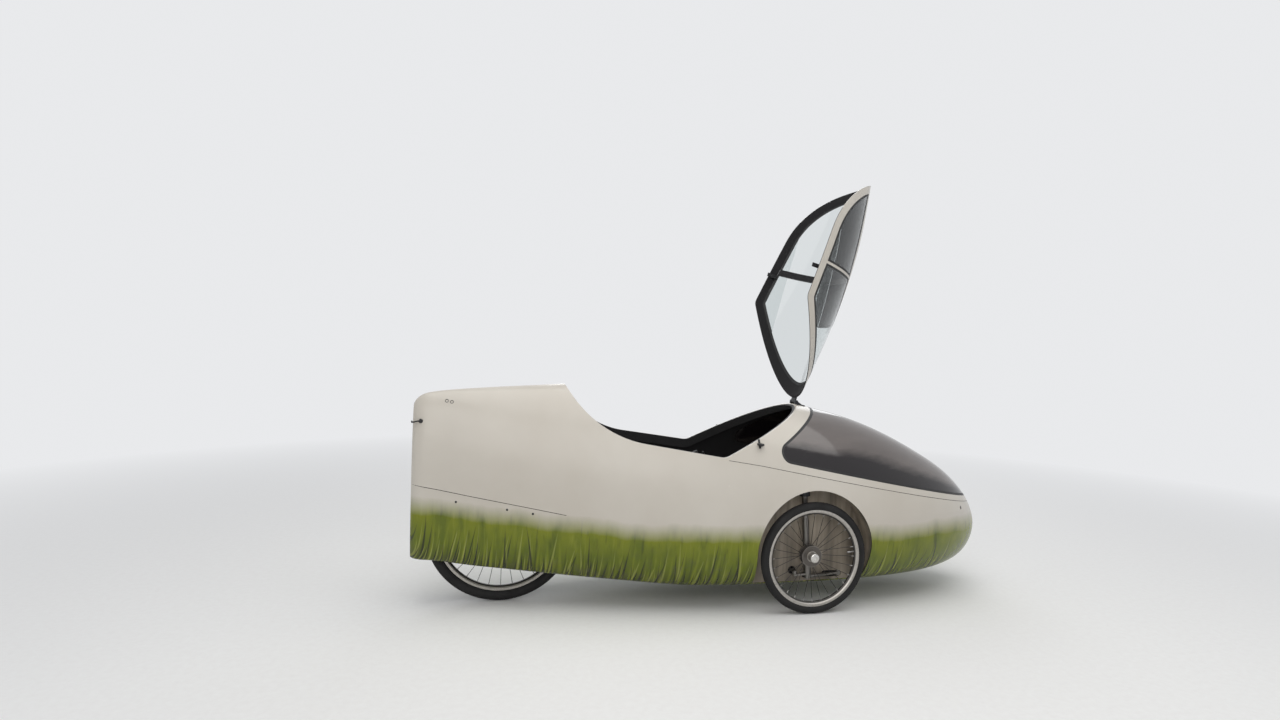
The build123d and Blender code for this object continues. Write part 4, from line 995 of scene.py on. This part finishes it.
def canopy_skin(name, proud):
    """The canopy's outer skin as an even grid, as thick as a pane."""
    solid = surface("canopy_frame", "canopy_seal", "canopy_glass")
    rows = []
    for step in range(SKIN_STEPS):
        x = SKIN_START + SKIN_STEP * step
        inside = opened(x, 0.0, AXIS_Z)
        row = []
        for turn in range(-SKIN_TURNS, SKIN_TURNS + 1):
            angle = math.radians(SKIN_TURN * turn)
            away = opened(x, math.sin(angle), AXIS_Z + math.cos(angle)) - inside
            point, normal, _, _ = solid.ray_cast(inside + away, -away)
            found = point is not None and abs(normal.dot(away)) > SKIN_FACING
            row.append(point + away * proud if found else None)
        rows.append(row)
    used = {}
    faces = []
    for i in range(len(rows) - 1):
        for j in range(len(rows[0]) - 1):
            places = ((i, j), (i + 1, j), (i + 1, j + 1), (i, j + 1))
            corners = [rows[a][b] for a, b in places]
            if any(corner is None for corner in corners):
                continue
            if max((corners[k] - corners[k - 1]).length for k in range(4)) > SKIN_EDGE:
                continue
            faces.append(tuple(used.setdefault(place, len(used)) for place in places))
    mesh = bpy.data.meshes.new(name)
    mesh.from_pydata([tuple(rows[a][b]) for a, b in used], [], faces)
    obj = placed(name, mesh)
    turn_outward(obj, Vector(CANOPY_MIDDLE))
    thicken = obj.modifiers.new("thickness", "SOLIDIFY")
    thicken.thickness = PANE_THICKNESS
    thicken.offset = -1.0
    apply_modifiers(obj)
    turn_outward(obj)
    return obj


def finish_canopy(obj, material, slot, *replaced):
    weld(obj, SKIN_WELD)
    apply_modifiers(obj)
    shape = edit_start(obj.data)
    smooth_below(shape, CANOPY_SHARP)
    edit_end(shape, obj.data)
    finish_with(obj, material)
    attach(obj, "canopy")
    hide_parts(*replaced)


def canopy():
    """Shell, seal and panes, which share the panes' openings, and a lining for the roof only."""
    opening = openings("pane_openings", 0.0)
    clear = openings("pane_clear", GASKET)
    shell = copy_of("canopy_shell", "canopy_frame")
    weld(shell, SOLID_WELD)
    carve(shell, "DIFFERENCE", opening)
    gasket = canopy_skin("pane_gasket", GASKET_PROUD)
    carve(opening, "DIFFERENCE", clear)
    carve(gasket, "INTERSECT", opening)
    panes = canopy_skin("canopy_panes", 0.0)
    carve(panes, "INTERSECT", clear)
    roof = rectangle((CUT_REAR, PANE_TOP - GASKET), (ROOF_FRONT, CUT_HIGH))
    strip = prism("lining_strip", roof)
    lining = copy_of("roof_lining", "roof_liner")
    weld(lining, SOLID_WELD)
    carve(lining, "INTERSECT", strip)
    discard(opening, clear, strip)
    finish_canopy(shell, canopy_paint, "body_white", "canopy_frame")
    finish_canopy(gasket, materials["black_seal"], "black_seal", "canopy_seal")
    finish_canopy(panes, materials["clear_glass"], "clear_glass", "canopy_glass")
    finish_canopy(lining, materials["black_lining"], "black_lining", "roof_liner")


# Seat cushion: inflated from its solid, with sewn channels across
def inflate(cushion):
    """Blows the cushion up as cloth under pressure, within the farthest move."""
    rest = [v.co.copy() for v in cushion.data.vertices]
    cloth = cushion.modifiers.new("cloth", "CLOTH")
    cloth.settings.use_pressure = True
    cloth.settings.uniform_pressure_force = PAD_PRESSURE
    cloth.settings.effector_weights.gravity = 0.0
    cloth.settings.quality = PAD_QUALITY
    cloth.point_cache.frame_start = 1
    cloth.point_cache.frame_end = PAD_STEPS
    for step in range(1, PAD_STEPS + 1):
        bpy.context.scene.frame_set(step)
    apply_modifiers(cushion)
    bpy.context.scene.frame_set(1)
    for vert, start in zip(cushion.data.vertices, rest):
        move = vert.co - start
        if move.length > PAD_CAP:
            vert.co = start + move.normalized() * PAD_CAP


def sew_channels(cushion):
    """Pulls the cushion in along evenly spaced lines across it."""
    cushion.data.update()
    shape = edit_start(cushion.data)
    shape.normal_update()
    for vert in shape.verts:
        run = vert.co.x * CHANNEL_RUN[0] + vert.co.z * CHANNEL_RUN[1]
        off = abs((run / CHANNEL_STEP) % 1.0 - 0.5) * CHANNEL_STEP
        if off < 2 * CHANNEL_HALF:
            vert.co -= vert.normal * CHANNEL_DEPTH * math.exp(-(off / CHANNEL_HALF) ** 2)
    edit_end(shape, cushion.data)


def seat_cushion():
    cushion = copy_of("seat_cushion", "seat_pad")
    weld(cushion, PAD_WELD)
    remesh = cushion.modifiers.new("remesh", "REMESH")
    remesh.mode = "VOXEL"
    remesh.voxel_size = PAD_VOXEL
    apply_modifiers(cushion)
    shape = edit_start(cushion.data)
    shape.normal_update()
    for vert in shape.verts:
        vert.co -= vert.normal * PAD_SHRINK
    edit_end(shape, cushion.data)
    inflate(cushion)
    sew_channels(cushion)
    smooth = cushion.modifiers.new("smooth", "SUBSURF")
    smooth.levels = 1
    smooth.render_levels = 1
    apply_modifiers(cushion)
    for face in cushion.data.polygons:
        face.use_smooth = True
    finish_with(cushion, materials["pad_fabric"])
    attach(cushion, "hull")
    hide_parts("seat_pad")


canopy()
seat_cushion()


# Stage: a pale floor and backdrop, soft studio lamps
def fade_floor(shade):
    """Far from the object, the floor that is seen or mirrored turns into the plain background."""
    path = shade.add("ShaderNodeLightPath")
    length = shade.add("ShaderNodeVectorMath", operation="LENGTH")
    shade.feed(length.inputs[0], shade.place)
    far = shade.span(length.outputs["Value"], FLOOR_NEAR, FLOOR_FAR)
    glow = shade.add("ShaderNodeEmission")
    glow.inputs["Color"].default_value = BACKGROUND
    seen = path.outputs["Is Camera Ray"]
    for ray in MIRRORED_RAYS:
        seen = shade.math("MAXIMUM", seen, path.outputs[ray])
    blend = shade.add("ShaderNodeMixShader")
    shade.feed(blend.inputs[0], shade.math("MULTIPLY", far, seen))
    shade.feed(blend.inputs[1], shade.shader.outputs[0])
    shade.feed(blend.inputs[2], glow.outputs[0])
    shade.feed(shade.tree.nodes["Material Output"].inputs["Surface"], blend.outputs[0])


def stage():
    shade = Shade("floor", paint(238, 237, 236), {"Roughness": 0.9})
    speck = shade.span(shade.noise(40.0, 6.0, roughness=0.7), 0.3, 0.7)
    shade.set("Base Color", shade.mix(speck, paint(240, 240, 239), paint(235, 234, 233)))
    fade_floor(shade)
    mesh = bpy.data.meshes.new("floor")
    corners = rectangle((-FLOOR_HALF, -FLOOR_HALF), (FLOOR_HALF, FLOOR_HALF))
    mesh.from_pydata([(x, y, 0) for x, y in corners], [], [(0, 1, 2, 3)])
    floor = placed("floor", mesh)
    mesh.materials.append(shade.material)


def backdrop():
    """Plain background where it is seen or mirrored, and a soft light from all round elsewhere."""
    world = bpy.data.worlds.new("studio")
    bpy.context.scene.world = world
    world.use_nodes = True
    world.node_tree.nodes.clear()
    add = world.node_tree.nodes.new
    link = world.node_tree.links.new
    path = add("ShaderNodeLightPath")
    seen = path.outputs["Is Camera Ray"]
    for ray in MIRRORED_RAYS:
        either = add("ShaderNodeMath")
        either.operation = "MAXIMUM"
        link(seen, either.inputs[0])
        link(path.outputs[ray], either.inputs[1])
        seen = either.outputs[0]
    blend = add("ShaderNodeMixShader")
    link(seen, blend.inputs[0])
    for socket, colour, strength in (
        (blend.inputs[1], AMBIENT, AMBIENT_STRENGTH),
        (blend.inputs[2], BACKGROUND, 1.0),
    ):
        light = add("ShaderNodeBackground")
        light.inputs["Color"].default_value = colour
        light.inputs["Strength"].default_value = strength
        link(light.outputs[0], socket)
    link(blend.outputs[0], add("ShaderNodeOutputWorld").inputs[0])


def lamp(name, place, target, size, power, colour):
    light = bpy.data.lights.new(name, "AREA")
    light.shape = "RECTANGLE"
    light.size, light.size_y = size
    light.energy = power
    light.color = colour
    obj = placed(name, light)
    obj.location = place
    obj.rotation_mode = "QUATERNION"
    obj.rotation_quaternion = (Vector(target) - Vector(place)).to_track_quat("-Z", "Y")
    obj.visible_transmission = False


def camera():
    yaw, pitch, roll = (math.radians(angle) for angle in (CAMERA_YAW, CAMERA_PITCH, CAMERA_ROLL))
    level = math.cos(pitch)
    ahead = Vector((math.sin(yaw) * level, math.cos(yaw) * level, math.sin(pitch)))
    data = bpy.data.cameras.new("camera")
    data.sensor_width = SENSOR
    data.lens = FOCAL / PHOTO_WIDTH * SENSOR
    obj = placed("camera", data)
    obj.location = CAMERA_PLACE
    obj.rotation_euler = ahead.to_track_quat("-Z", "Y").to_euler()
    obj.rotation_euler.rotate_axis("Z", roll)
    bpy.context.scene.camera = obj


stage()
backdrop()
for settings in LAMPS:
    lamp(*settings)
camera()
bpy.context.scene.view_settings.view_transform = "Standard"
